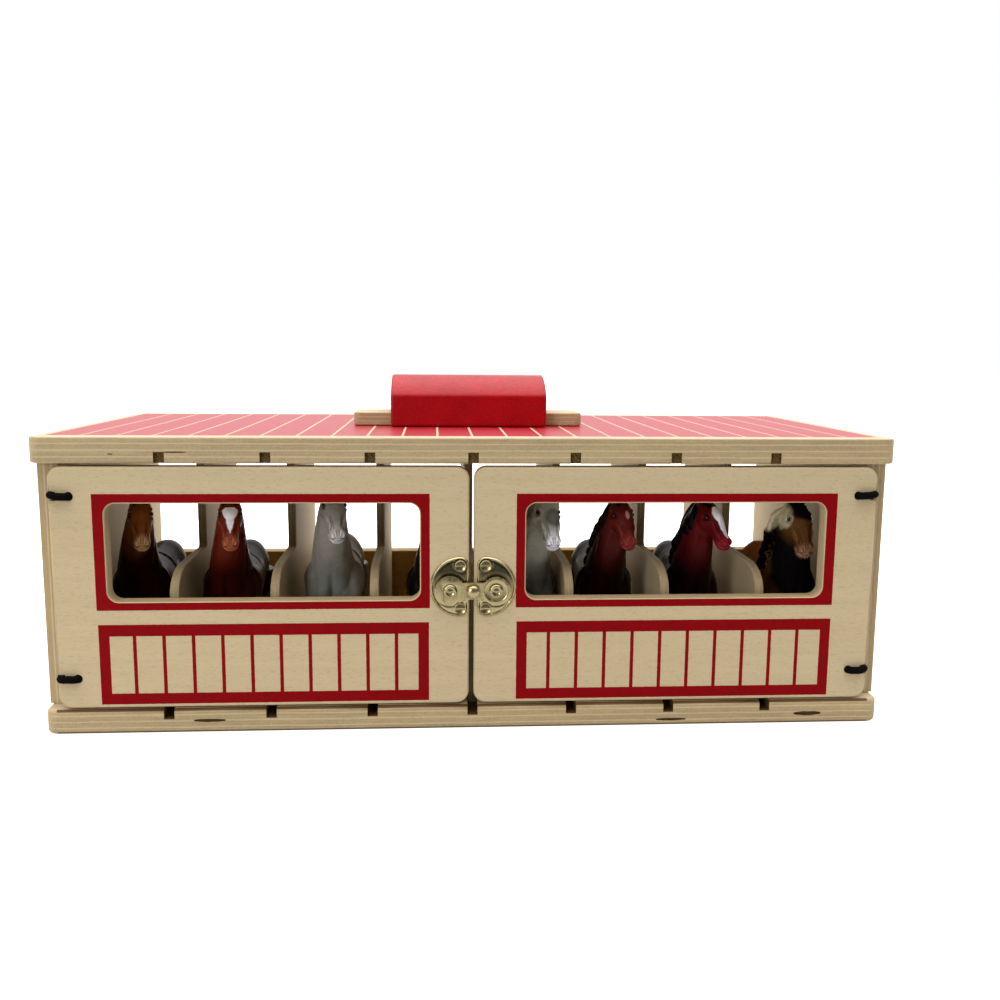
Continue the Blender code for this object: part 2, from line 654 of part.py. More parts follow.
def make_latch_fixings(side, word, paint):
    """The two nails of one plate and the rivet that the hook turns on or catches."""
    items = []
    head_back = PLATE_FRONT_Y - LATCH_GAP
    for level, rise in (("top", NAIL_RISE), ("bottom", -NAIL_RISE)):
        place = (side * PLATE_CENTRE_X, PLATE_Z + rise)
        items.append(
            fastener(
                f"latch_nail_{word}_{level}",
                place,
                NAIL_SHANK_RADIUS,
                FRONT_Y + NAIL_LENGTH,
                head_back,
                NAIL_HEAD_RADIUS,
                NAIL_HEAD_HEIGHT,
                paint,
            )
        )
    items.append(
        fastener(
            "latch_catch_pin" if side < 0 else "latch_pivot_rivet",
            (side * RIVET_X, LATCH_Z),
            RIVET_SHANK_RADIUS,
            FRONT_Y + RIVET_DOOR_DEPTH,
            HEAD_BACK_Y,
            RIVET_HEAD_RADIUS,
            RIVET_HEAD_HEIGHT,
            paint,
        )
    )
    return items


def make_hook(paint):
    """The hook: a lobe on the pivot, a bar, and a catch lobe whose slot opens downwards."""
    pivot = (RIVET_X, LATCH_Z)
    catch = (RIVET_X - RIVET_SPREAD, LATCH_Z)
    sides = 2 * ROUND_SIDES
    depths = ("XZ", HOOK_FRONT_Y, HOOK_BACK_Y)
    hook = prism("latch_hook", circle(pivot, HOOK_PIVOT_LOBE_RADIUS, sides), *depths, paint)
    half = HOOK_BAR_HEIGHT / 2
    bar = rectangle((catch[0], LATCH_Z - half), (pivot[0], LATCH_Z + half))
    combine(hook, prism("hook_bar", bar, *depths), "UNION")
    lobe = circle(catch, HOOK_CATCH_LOBE_RADIUS, sides)
    combine(hook, prism("hook_catch_lobe", lobe, *depths), "UNION")
    wide = RIVET_HEAD_RADIUS + HOOK_SLOT_CLEARANCE
    inner = (RIVET_SPREAD - wide, RIVET_SPREAD - wide)
    outer = (RIVET_SPREAD + wide, RIVET_SPREAD + wide)
    sweep = math.degrees(2 * HOOK_CATCH_LOBE_RADIUS / RIVET_SPREAD)
    slot = arc(pivot, inner, 180, 180 + sweep) + arc(pivot, outer, 180 + sweep, 180)
    slot += arc(catch, (wide, wide), 180, 0, 2 * ARC_STEPS)[1:-1]
    cut(hook, prism("hook_slot", slot, "XZ", HOOK_FRONT_Y - OVERRUN, FRONT_Y))
    holes = bmesh.new()
    for x, shank in ((pivot[0], RIVET_SHANK_RADIUS), (0, KNOB_SHANK_RADIUS)):
        outline = circle((x, LATCH_Z), shank + FIT_GAP)
        add_prism(holes, outline, "XZ", HOOK_FRONT_Y - OVERRUN, FRONT_Y)
    cut(hook, add_object("hook_holes", holes))
    return hook


def make_handle(wood, red, steel):
    half = HANDLE_PLATE_DEPTH / 2
    low_z = ROOF_TOP + FIT_GAP
    plate_top = ROOF_TOP + HANDLE_PLATE_THICKNESS
    outline = rounded_rectangle(
        (-HANDLE_PLATE_LENGTH / 2, HANDLE_Y - half),
        (HANDLE_PLATE_LENGTH / 2, HANDLE_Y + half),
        HANDLE_PLATE_CORNER_RADIUS,
    )
    plate = prism("handle_plate", outline, "XY", low_z, plate_top, wood)
    soften(plate, SOFT_EDGE)
    cut(plate, screw_cutter("plate_screw_holes"))
    make_handle_block(low_z, plate_top, red)
    for word, x in zip(("left", "right"), screw_places()):
        length = ROOF_THICKNESS + HANDLE_PLATE_THICKNESS + SCREW_GRIP
        profile = [(0, 0), (SCREW_HEAD_RADIUS, 0), (SCREW_SHANK_RADIUS, SCREW_HEAD_HEIGHT)]
        profile += [(SCREW_SHANK_RADIUS, length - SCREW_HEAD_HEIGHT), (0, length)]
        foot = (x, HANDLE_Y, ROOF_BOTTOM + FIT_GAP)
        turned(f"handle_screw_{word}", profile, foot, (0, 0, 1), steel)


def make_handle_block(low_z, plate_top, red):
    """The grip: straight front and back, arched top, and a channel over the plate."""
    half = HANDLE_BLOCK_DEPTH / 2
    rise = HANDLE_BLOCK_HEIGHT - HANDLE_SHOULDER_HEIGHT
    arch_radius = (half * half + rise * rise) / (2 * rise)
    arch_z = ROOF_TOP + HANDLE_BLOCK_HEIGHT - arch_radius
    spread_angle = math.degrees(math.asin(half / arch_radius))
    channel = HANDLE_PLATE_DEPTH / 2 + FIT_GAP
    radii = (arch_radius, arch_radius)
    arch = arc((HANDLE_Y, arch_z), radii, 90 - spread_angle, 90 + spread_angle, 3 * ARC_STEPS)
    outline = [(HANDLE_Y + channel, low_z), (HANDLE_Y + half, low_z)] + arch
    outline += [(HANDLE_Y - half, low_z), (HANDLE_Y - channel, low_z)]
    outline += [(HANDLE_Y - channel, plate_top + FIT_GAP), (HANDLE_Y + channel, plate_top + FIT_GAP)]
    length = HANDLE_BLOCK_LENGTH / 2
    block = prism("handle_block", outline, "YZ", -length, length, red)
    cut(block, screw_cutter("block_screw_holes"))


def posed(point, share, pose, height):
    """Turns a point about the upright line through the poll and leans it sideways, each by its
    share of the head's pose."""
    turn, lean, _ = pose
    poll = Vector((0, NECK_SHARES[-1][0] * height, 0))
    turned = Matrix.Rotation(math.radians(turn) * share, 3, "Z") @ (point - poll) + poll
    return turned + Vector((lean * share * height, 0, 0))


def add_body_run(bm, stations, height, pose, swell=1.0):
    """A run of oval rings through stations that lie in the horse's middle plane, swollen about
    the top of the neck."""
    top = Vector((0, NECK_SHARES[-1][0], NECK_SHARES[-1][1])) * height
    centres = [top + (Vector((0, y, z)) * height - top) * swell for y, z, _, _, _ in stations]
    rings = []
    for i, (_, _, wide, thick, share) in enumerate(stations):
        along = (centres[min(i + 1, len(centres) - 1)] - centres[max(i - 1, 0)]).normalized()
        across = along.cross(Vector((1, 0, 0)))
        ring = []
        for u, v in circle((0, 0), height * swell, RING_SIDES):
            point = centres[i] + Vector((wide * u, 0, 0)) + across * thick * v
            ring.append(bm.verts.new(posed(point, share, pose, height)))
        rings.append(ring)
    skin_rings(bm, rings)


def add_limb_run(bm, stations, side, height, pose, share):
    """A run of level oval rings: a leg, which no pose reaches, or an ear."""
    rings = []
    for x, y, z, wide, deep in stations:
        ring = []
        for u, v in circle((0, 0), height, RING_SIDES):
            point = Vector((side * x * height + wide * u, y * height + deep * v, z * height))
            ring.append(bm.verts.new(posed(point, share, pose, height)))
        rings.append(ring)
    skin_rings(bm, rings)


def make_horse(name, place, pose, height, paint):
    """A standing horse with its hooves level, grown together from its runs."""
    bm = bmesh.new()
    for stations in (TORSO_SHARES, NECK_SHARES, CREST_SHARES, TAIL_SHARES):
        add_body_run(bm, stations, height, pose)
    add_body_run(bm, HEAD_SHARES, height, pose, pose[2])
    for side in (-1, 1):
        add_limb_run(bm, FORELEG_SHARES, side, height, pose, 0)
        add_limb_run(bm, HINDLEG_SHARES, side, height, pose, 0)
        add_limb_run(bm, EAR_SHARES, side, height, pose, 1)
    horse = add_object(name, bm, paint)
    horse.location = place
    skin = horse.modifiers.new("grown_together", "REMESH")
    skin.mode = "VOXEL"
    skin.voxel_size = HORSE_SKIN_STEP
    coarse = horse.modifiers.new("plain_facets", "DECIMATE")
    coarse.ratio = HORSE_FACET_SHARE


def make_horses():
    for i, (shift, size, pose, coat) in enumerate(HORSE_SHARES):
        name = f"horse_{i + 1}"
        x = (i + 0.5 - STALL_COUNT / 2 + shift) * STALL_PITCH
        place = (x, FRONT_Y + HORSE_CHEST_SETBACK, HORSE_GROUND_Z)
        make_horse(name, place, pose, HORSE_WITHERS_HEIGHT * size, finish(name, coat, 0.45))


def main():
    for item in list(bpy.data.objects):
        bpy.data.objects.remove(item)
    pale = finish("birch_ply", PLY_PALE, 0.55)
    edge = finish("birch_ply_edge", PLY_EDGE, 0.6)
    roof_red = finish("printed_roof_red", ROOF_RED, 0.4)
    red = finish("red_paint", PAINT_RED, 0.35)
    brass = finish("brass", BRASS, 0.3, 1.0)
    steel = finish("zinc_steel", STEEL, 0.35, 1.0)
    black = finish("elastic_cord", CORD_BLACK, 0.8)
    make_base(pale)
    make_roof(roof_red)
    make_back_rail(pale)
    make_dividers(edge)
    make_handle(pale, red, steel)
    for word, side in (("left", -1), ("right", 1)):
        make_side_wall("side_wall_" + word, side, pale)
        hinge = (side * HINGE_X, HINGE_Y, 0)
        pivot = add_pivot(f"door_{word}_hinge", hinge)
        door = make_door("door_" + word, side, pale)
        plate = make_plate("latch_plate_" + word, side, brass)
        fixings = make_latch_fixings(side, word, brass)
        low = make_cord(f"hinge_cord_{word}_bottom", side, CORD_LOW_Z, CORD_SAG, black)
        high = make_cord(f"hinge_cord_{word}_top", side, CORD_HIGH_Z, CORD_SAG, black)
        carry(pivot, hinge, door, plate, low, high, *fixings)
    hook = make_hook(brass)
    knob_end = (0, LATCH_Z)
    knob = fastener(
        "latch_knob",
        knob_end,
        KNOB_SHANK_RADIUS,
        HOOK_BACK_Y,
        HEAD_BACK_Y,
        KNOB_RADIUS,
        KNOB_HEIGHT,
        brass,
    )
    turning = (RIVET_X, HOOK_BACK_Y, LATCH_Z)
    latch_pivot = add_pivot("latch_turning_point", turning)
    carry(latch_pivot, turning, hook, knob)
    carry(pivot, hinge, latch_pivot)
    make_horses()


main()
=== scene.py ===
"""Looks of the take-along toy horse stable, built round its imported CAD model.

Laid out as an add-on and run as a script. Metres, the CAD model's own frame: +X along the
stable's length, the doors facing -Y, +Z up.
"""

import math
import random

import bmesh
import bpy
import numpy as np
from bpy.props import FloatProperty, FloatVectorProperty, IntProperty, PointerProperty
from mathutils import Matrix, Vector, kdtree


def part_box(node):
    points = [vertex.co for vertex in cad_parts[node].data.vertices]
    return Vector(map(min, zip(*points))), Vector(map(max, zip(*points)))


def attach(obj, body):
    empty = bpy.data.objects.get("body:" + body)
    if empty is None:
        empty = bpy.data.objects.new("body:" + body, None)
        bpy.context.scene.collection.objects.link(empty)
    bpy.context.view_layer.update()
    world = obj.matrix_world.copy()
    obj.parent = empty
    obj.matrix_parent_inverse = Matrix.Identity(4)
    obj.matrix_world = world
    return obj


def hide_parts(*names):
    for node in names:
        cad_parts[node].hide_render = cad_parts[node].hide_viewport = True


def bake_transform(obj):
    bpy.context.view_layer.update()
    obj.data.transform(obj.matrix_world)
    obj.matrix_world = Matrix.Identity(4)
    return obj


bl_info = {
    "name": "Toy Horse Stable",
    "version": (1, 0, 0),
    "blender": (4, 5, 0),
    "location": "3D View > Sidebar > Stable",
    "description": "Builds the looks of a plywood toy stable with a hook latch and eight toy horses",
    "category": "Object",
}

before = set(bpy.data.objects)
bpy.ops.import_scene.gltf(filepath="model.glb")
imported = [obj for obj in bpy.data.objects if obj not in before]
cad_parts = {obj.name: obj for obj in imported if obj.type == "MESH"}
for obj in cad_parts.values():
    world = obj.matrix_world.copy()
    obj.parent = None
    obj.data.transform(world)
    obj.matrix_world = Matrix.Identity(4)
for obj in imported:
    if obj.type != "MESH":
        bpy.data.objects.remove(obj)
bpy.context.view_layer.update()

MM = 0.001
STALLS = 8


def middle(node):
    low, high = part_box(node)
    return (low + high) / 2


BASE_LOW, BASE_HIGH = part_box("base_panel")
ROOF_LOW, ROOF_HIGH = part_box("roof_panel")
WALL_LOW, WALL_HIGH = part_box("side_wall_right")
RAIL_LOW, RAIL_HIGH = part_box("back_rail")
DIVIDER_LOW, DIVIDER_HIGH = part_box("stall_divider_4")
DOOR_LOW, DOOR_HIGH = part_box("door_right")
PLATE_LOW, PLATE_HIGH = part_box("latch_plate_right")
HOOK_LOW, HOOK_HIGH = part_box("latch_hook")
GRIP_LOW, GRIP_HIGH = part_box("handle_block")
REST_LOW, REST_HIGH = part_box("handle_plate")
STALL_PITCH = middle("stall_divider_5").x - middle("stall_divider_4").x
FRONT_Y = DOOR_LOW.y
FIT_GAP = 0.25 * MM
OVERRUN = 6.0 * MM
PLUG_FRONT_Y = ROOF_LOW.y + 1.6 * MM

# Cuts and shapes that the boxes of the CAD nodes don't give
PANEL_CORNER = 5.0 * MM
GROOVE_DEPTH = 4.5 * MM
HOUSING_DEPTH = 2.0 * MM
LOW_TOP = BASE_HIGH.z + 53.6 * MM
SHOULDER = (17.0 * MM, 10.0 * MM)
POST_Y = FRONT_Y + 67.0 * MM
WINDOW_X = (21.4 * MM, 144.5 * MM)
WINDOW_Z = (54.7 * MM, 94.1 * MM)
WINDOW_CORNER = 4.3 * MM
RIVET_X = 9.3 * MM
RIVET_Z = 58.8 * MM
PLATE_X = 5.1 * MM
PLATE_Z = 60.0 * MM
NAIL_RISE = 8.8 * MM
PLATE_BOW = 12.3 * MM
PLATE_CORNER = 3.5 * MM
PLATE_CENTRE = (PLATE_X + 3 * MM, PLATE_Z)
NAIL_HOLE = 0.85 * MM
RIVET_HOLE = 1.75 * MM
# The holes of the right plate and door: place, radius and depth in the door
FIXING_HOLES = (
    (PLATE_X, PLATE_Z + NAIL_RISE, NAIL_HOLE, 5.25 * MM),
    (PLATE_X, PLATE_Z - NAIL_RISE, NAIL_HOLE, 5.25 * MM),
    (RIVET_X, RIVET_Z, RIVET_HOLE, 4.75 * MM),
)
HOOK_PIVOT_LOBE = 5.8 * MM
HOOK_CATCH_LOBE = 6.2 * MM
HOOK_BAR = 3.4 * MM
HOOK_SLOT = 2.9 * MM
GRIP_RISE = 8.8 * MM
SCREW_HEAD = 3.5 * MM
SCREW_SHANK = 1.8 * MM
SCREW_TURNS = 14
# The slot between the doors stands a little left of the middle
SLOT_SHIFT = 0.6 * MM
# Light shows over the doors, which hang a little low on their cords
DOOR_DROP = 0.5 * MM
CORD_RADIUS = 1.55 * MM
CORD_OFFSET = CORD_RADIUS + FIT_GAP
CORD_WALL_X = DOOR_HIGH.x - 1.4 * MM + CORD_OFFSET
CORD_EDGE_X = DOOR_HIGH.x - 2.9 * MM
CORD_DOOR_X = DOOR_HIGH.x - 7.9 * MM
CORD_HEIGHTS = {"bottom": DOOR_LOW.z + 12.2 * MM, "top": DOOR_HIGH.z - 12.2 * MM}

# Gaps in the core plies along the front edges: place, height, length and thickness
BASE_VOIDS = (
    (-106.5 * MM, 5.2 * MM, 12.5 * MM, 1.6 * MM),
    (83.0 * MM, 2.7 * MM, 12.5 * MM, 1.3 * MM),
    (141.1 * MM, 4.4 * MM, 11.5 * MM, 2.1 * MM),
)
ROOF_VOIDS = (
    (-116.5 * MM, 114.4 * MM, 8.5 * MM, 0.6 * MM),
    (-141.0 * MM, 113.6 * MM, 2.0 * MM, 0.5 * MM),
)

# Where the two printed patterns stand
FRAME_X = (17.4 * MM, 149.1 * MM)
FRAME_Z = (51.2 * MM, 97.95 * MM)
FENCE_X = (17.8 * MM, 148.9 * MM)
FENCE_Z = (12.5 * MM, 45.4 * MM)
FENCE_INNER_X = (22.1 * MM, 144.65 * MM)
FENCE_INNER_Z = (17.0 * MM, 40.65 * MM)
FENCE_CELLS = 11
FENCE_PITCH = 11.55 * MM
FENCE_MIDDLE_X = 82.95 * MM
FENCE_BAR = 1.45 * MM
BOARD_PITCH = 14.03 * MM
BOARD_LINE_X = -154.6 * MM
ROOF_PRINT_X = 168.4 * MM
ROOF_PRINT_Y = (-66.5 * MM, 72.5 * MM)

# The camera of the photograph
CAMERA_PLACE = (-15.05 * MM, -467.58 * MM, 153.5 * MM)
CAMERA_TURN = (0.0652, -0.1462, -0.0083)
CAMERA_LENS = 35.88


def linear_colour(code):
    """An sRGB hex colour as linear red, green, blue and alpha."""
    channels = []
    for i in (0, 2, 4):
        value = int(code[i : i + 2], 16) / 255
        channels.append(value / 12.92 if value <= 0.04045 else ((value + 0.055) / 1.055) ** 2.4)
    return (*channels, 1.0)


def colour_property(name, code, words):
    return FloatVectorProperty(
        name=name, description=words, subtype="COLOR", size=4, min=0.0, max=1.0, default=linear_colour(code)
    )


def length_property(name, millimetres, words):
    return FloatProperty(
        name=name, description=words, default=millimetres * MM, min=0.0, unit="LENGTH", precision=5
    )


class StableSizes(bpy.types.PropertyGroup):
    """Sizes of the details that the CAD model leaves plain."""

    panel_rounding: length_property("Panel rounding", 0.8, "Sanded rounding along the panels' edges")
    base_rounding: length_property("Base rounding", 1.7, "Sanded rounding along the base's edges")
    window_rounding: length_property("Window rounding", 0.45, "Rounding of the doors' window edges")
    soft_edge: length_property("Soft edge", 0.35, "Sanded arris of dividers, walls and rail")
    grip_rounding: length_property("Grip rounding", 1.1, "Rounding at the ends of the grip")
    board_line: length_property("Board line", 0.9, "Width of the pale lines between the printed boards")
    horse_step: length_property("Horse step", 0.55, "Grid step that a horse's skin is grown on")
    eye_radius: length_property("Eye radius", 0.88, "Radius of a horse's eyeball")
    flock_length: length_property("Flock length", 0.9, "Length of a flock fibre")
    flock_density: FloatProperty(
        name="Flock density", description="Flock fibres for each square metre", default=2.2e6, min=0.0
    )
    seed: IntProperty(name="Seed", description="Start of every random choice", default=7)


class StableColours(bpy.types.PropertyGroup):
    """Colours of the stable's finishes."""

    birch: colour_property("Birch", "c0ad8b", "Face veneer")
    birch_figure: colour_property("Birch figure", "bba886", "Darker figure of the veneer")
    # Painted shade: the dark on the walls of grooves and voids
    end_grain: colour_property("End grain", "a18a62", "Plies cut across their grain")
    saw_cut: colour_property("Recess shade", "5a3d1c", "Rough inside of grooves and voids")
    # Painted shade: the dark seen in the mouths of the roof's grooves
    mouth_shade: colour_property("Mouth shade", "5c451a", "Dried glue and sawdust in the grooves' mouths")
    door_ink: colour_property("Door ink", "800309", "Screen print on the doors")
    roof_ink: colour_property("Roof ink", "a60c24", "Screen print on the roof")
    red_paint: colour_property("Red paint", "a40712", "Paint of the grip")
    brass: colour_property("Brass", "b5a67c", "Plated steel of the latch")
    zinc: colour_property("Zinc", "b9bab6", "Plating of the screws")
    elastic: colour_property("Elastic", "030303", "Cover of the hinge cords")
    # Painted shade: the back rail's birch veneer, darker and browner, as the rail stands in shade
    rail: colour_property("Rail", "a5803f", "Face veneer of the back rail")
    floor: colour_property("Floor", "f4f4f3", "Floor and backdrop")


def sizes():
    return bpy.context.scene.stable_sizes


def colours():
    return bpy.context.scene.stable_colours


def connect(node, feeds):
    """Gives a node's inputs, by name or place, a value, a socket or another node's result."""
    for key, value in feeds.items():
        if isinstance(value, bpy.types.Node):
            value = next(socket for socket in value.outputs if socket.enabled)
        if isinstance(value, bpy.types.NodeSocket):
            node.id_data.links.new(value, node.inputs[key])
        else:
            node.inputs[key].default_value = value


def add(tree, kind, feeds=None, **settings):
    """Adds a node with its settings and feeds. A shader node goes by its name alone."""
    node = tree.nodes.new(kind if "Node" in kind else "ShaderNode" + kind)
    for key, value in settings.items():
        setattr(node, key, value)
    connect(node, feeds or {})
    return node


def toned(tree, colour, pattern, low, high, dark, light):
    """A colour scaled from dark to light where a pattern goes from low to high."""
    tone = add(tree, "MapRange", {0: pattern, 1: low, 2: high, 3: dark, 4: light})
    if not isinstance(colour, bpy.types.NodeSocket):
        colour = tuple(colour)[:3]
    return add(tree, "VectorMath", {0: colour, "Scale": tone}, operation="SCALE")


def new_material(name, **values):
    """A material with its shader's own values set by their plain names."""
    material = bpy.data.materials.new(name)
    material.use_nodes = True
    shader = material.node_tree.nodes["Principled BSDF"]
    for key, value in values.items():
        shader.inputs[key.replace("_", " ")].default_value = value
    return material, material.node_tree, shader


# Shapes


def arc(centre, radii, start, end, steps):
    """Points on an ellipse's arc, both ends included, angles in degrees."""
    points = []
    for i in range(steps + 1):
        angle = math.radians(start + (end - start) * i / steps)
        points.append((centre[0] + radii[0] * math.cos(angle), centre[1] + radii[1] * math.sin(angle)))
    return points


def rounded_rectangle(low, high, radius, steps=8):
    """Corner points of a rectangle with round corners, anticlockwise."""
    radii = (radius, radius)
    outline = arc((high[0] - radius, high[1] - radius), radii, 0, 90, steps)
    outline += arc((low[0] + radius, high[1] - radius), radii, 90, 180, steps)
    outline += arc((low[0] + radius, low[1] + radius), radii, 180, 270, steps)
    outline += arc((high[0] - radius, low[1] + radius), radii, 270, 360, steps)
    return outline


def rectangle(low, high):
    return [(low[0], low[1]), (high[0], low[1]), (high[0], high[1]), (low[0], high[1])]


def circle(centre, radius, sides):
    return arc(centre, (radius, radius), 0, 360 * (sides - 1) / sides, sides - 1)


def spread(plane, first, second, depth):
    """A point of an outline in plane XY, XZ or YZ, at a depth across that plane."""
    if plane == "XY":
        return (first, second, depth)
    if plane == "XZ":
        return (first, depth, second)
    return (depth, first, second)


def add_prism(bm, outline, plane, near, far):
    """Extrudes an outline across its plane, as one closed body."""
    face = bm.faces.new([bm.verts.new(spread(plane, u, v, near)) for u, v in outline])
    raised = bmesh.ops.extrude_face_region(bm, geom=[face])["geom"]
    shift = Vector(spread(plane, 0, 0, far - near))
    bmesh.ops.translate(bm, verts=[v for v in raised if isinstance(v, bmesh.types.BMVert)], vec=shift)


def skin_rings(bm, rings, closed=True):
    """Joins rings of points one after the other, and closes the end rings."""
    for lower, upper in zip(rings, rings[1:]):
        count = max(len(lower), len(upper))
        for i in range(count):
            j = (i + 1) % count
            if len(lower) == 1:
                bm.faces.new((lower[0], upper[j], upper[i]))
            elif len(upper) == 1:
                bm.faces.new((lower[i], lower[j], upper[0]))
            else:
                bm.faces.new((lower[i], lower[j], upper[j], upper[i]))
    if closed:
        for ring in (rings[0], rings[-1]):
            if len(ring) > 2:
                bm.faces.new(ring)


def add_turned(bm, profile, foot, axis, sides):
    """Turns a profile of (radius, height) points about an axis through foot."""
    turn = Vector((0, 0, 1)).rotation_difference(Vector(axis)).to_matrix()
    rings = []
    for radius, height in profile:
        ring = circle((0, 0), radius, sides) if radius > 0 else [(0, 0)]
        rings.append([bm.verts.new(Vector(foot) + turn @ Vector((x, y, height))) for x, y in ring])
    skin_rings(bm, rings)


def loose_object(name, bm):
    """An unfinished object from a bmesh, with its faces pointing out."""
    bmesh.ops.recalc_face_normals(bm, faces=bm.faces)
    mesh = bpy.data.meshes.new(name)
    bm.to_mesh(mesh)
    bm.free()
    item = bpy.data.objects.new(name, mesh)
    bpy.context.scene.collection.objects.link(item)
    return item


def prism(name, outline, plane, near, far):
    bm = bmesh.new()
    add_prism(bm, outline, plane, near, far)
    return loose_object(name, bm)


def soften(item, width, segments=3):
    bevel = item.modifiers.new("rounding", "BEVEL")
    bevel.width = width
    bevel.segments = segments
    bevel.limit_method = "ANGLE"
    bevel.angle_limit = math.radians(40)
    bevel.harden_normals = False


def combine(item, other, operation="DIFFERENCE"):
    """Cuts another shape out of item, or joins it on."""
    change = item.modifiers.new(other.name, "BOOLEAN")
    change.operation = operation
    change.solver = "EXACT"
    change.object = other


def plain_mesh(item):
    """The object's mesh with its modifiers worked in, and no modifier or helper left."""
    bpy.context.view_layer.update()
    graph = bpy.context.evaluated_depsgraph_get()
    mesh = bpy.data.meshes.new_from_object(item.evaluated_get(graph))
    helpers = [m.object for m in item.modifiers if m.type == "BOOLEAN"]
    item.modifiers.clear()
    old = item.data
    item.data = mesh
    bpy.data.meshes.remove(old)
    mesh.name = item.name
    for helper in helpers:
        bpy.data.objects.remove(helper)
    return mesh


def mark_facing(mesh):
    """Keeps each face's own direction, which tells a ply's long grain from its end grain."""
    values = np.zeros(len(mesh.polygons) * 3, np.float32)
    mesh.polygons.foreach_get("normal", values)
    layer = mesh.attributes.new("facing", "FLOAT_VECTOR", "FACE")
    layer.data.foreach_set("vector", np.abs(values))
    return values.reshape(-1, 3)


def shade_boards(mesh):
    """Flat faces along the axes stay flat, and rounded ones between them are smooth."""
    normals = mark_facing(mesh)
    mesh.polygons.foreach_set("use_smooth", np.abs(normals).max(1) < 0.9995)


def shade_curved(mesh, degrees):
    """Smooth all over, but for edges sharper than an angle."""
    mesh.shade_smooth()
    mesh.set_sharp_from_angle(angle=math.radians(degrees))


def point_values(mesh, name, values):
    mesh.attributes.new(name, "FLOAT", "POINT").data.foreach_set("value", values)


def finish_piece(item, body, materials, nodes=()):
    """Gives a finished piece its materials and its body, and hides the CAD nodes it stands for."""
    item.data.materials.clear()
    for material in materials:
        item.data.materials.append(material)
    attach(item, body)
    if nodes:
        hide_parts(*nodes)


# Finishes


def plywood(name, normal_axis, long_axis, low, thickness, bands, spacing=0.0, veneer=None):
    """Sanded, unvarnished birch plywood: pale face veneer with a faint long figure and short
    flecks, and edges where thin pale plies alternate with tan ones cut across their grain."""
    material, tree, shader = new_material(name, Roughness=0.6, IOR=1.5, Specular_IOR_Level=0.35)
    shade = colours()
    place = add(tree, "TexCoord").outputs["Object"]
    facing = add(tree, "Attribute", attribute_name="facing").outputs["Vector"]
    cross_axis = 3 - normal_axis - long_axis
    facing_parts = add(tree, "SeparateXYZ", {0: facing}).outputs
    # Figure 80 mm by 4 mm, fibres 9 mm by 0.8 mm: real ones are 0.3 mm, too fine to show
    patterns = []
    for length, width, detail, twist in ((0.08, 0.004, 2.0, 0.25), (0.009, 0.0008, 3.0, 0.0)):
        scale = [1 / width] * 3
        scale[long_axis] = 1 / length
        stretched = add(tree, "VectorMath", {0: place, 1: scale}, operation="MULTIPLY")
        feeds = {"Vector": stretched, "Scale": 1.0, "Detail": detail, "Distortion": twist}
        patterns.append(add(tree, "TexNoise", feeds))
    figure, fibres = patterns
    grain = add(tree, "Math", {0: figure, 1: fibres}, operation="ADD")
    spread_grain = add(tree, "MapRange", {0: grain, 1: 0.75, 2: 1.25})
    dark = tuple(v * 0.82 for v in tuple(veneer)[:3]) + (1.0,) if veneer else shade.birch_figure
    face = add(tree, "Mix", {0: spread_grain, 6: veneer or shade.birch, 7: dark}, data_type="RGBA")
    # Flecks 1.6 mm by 0.35 mm
    scale = [1 / 0.00035] * 3
    scale[long_axis] = 1 / 0.0016
    stretched = add(tree, "VectorMath", {0: place, 1: scale}, operation="MULTIPLY")
    speckle = add(tree, "TexNoise", {"Vector": stretched, "Scale": 1.0, "Detail": 0.0})
    fleck = add(tree, "MapRange", {0: speckle, 1: 0.62, 2: 0.8, 4: 0.4})
    flecked = add(tree, "Mix", {0: fleck, 6: face, 7: shade.end_grain}, data_type="RGBA")
    # Plies: pale lines at both faces and between the tan bands, wandering by 0.25 mm
    depth = add(tree, "SeparateXYZ", {0: place}).outputs[normal_axis]
    if spacing:
        depth = add(tree, "Math", {0: depth, 1: spacing / 2, 2: -spacing / 2}, operation="WRAP")
    wander = add(tree, "TexNoise", {"Vector": place, "Scale": 45.0, "Detail": 1.0})
    shift = add(tree, "Math", {0: wander, 1: 0.0005, 2: -0.00025 - low}, operation="MULTIPLY_ADD")
    moved = add(tree, "Math", {0: depth, 1: shift}, operation="ADD")
    level = add(tree, "Math", {0: moved, 1: bands / thickness}, operation="MULTIPLY")
    part = add(tree, "Math", {0: level}, operation="FRACT")
    off = add(tree, "Math", {0: part, 1: 0.5}, operation="SUBTRACT")
    saw = add(tree, "Math", {0: off}, operation="ABSOLUTE")
    line = add(tree, "MapRange", {0: saw, 1: 0.36, 2: 0.46})
    ends = add(tree, "Math", {0: line, 1: facing_parts[long_axis]}, operation="MULTIPLY")
    between = add(tree, "Math", {0: 1.0, 1: line}, operation="SUBTRACT")
    sides = add(tree, "Math", {0: between, 1: facing_parts[cross_axis]}, operation="MULTIPLY")
    end = add(tree, "Math", {0: ends, 1: sides}, operation="ADD", use_clamp=True)
    rough = add(tree, "TexNoise", {"Vector": place, "Scale": 1400.0, "Detail": 2.0})
    broken = add(tree, "MapRange", {0: rough, 1: 0.3, 2: 0.7, 3: 0.6, 4: 0.95})
    tan = toned(tree, shade.end_grain, grain, 0.75, 1.25, 1.12, 0.86)
    share = add(tree, "Math", {0: end, 1: broken}, operation="MULTIPLY")
    wood = add(tree, "Mix", {0: share, 6: flecked, 7: tan}, data_type="RGBA")
    # Painted shade on the walls of grooves and voids
    cut = add(tree, "Attribute", attribute_name="saw_cut").outputs["Fac"]
    whole = add(tree, "Mix", {0: cut, 6: wood, 7: shade.saw_cut}, data_type="RGBA")
    height = add(tree, "Mix", {0: end, 2: fibres, 3: rough})
    bump = add(tree, "Bump", {"Strength": 0.35, "Distance": 0.00012, "Height": height})
    connect(shader, {"Base Color": whole, "Normal": bump})
    return material


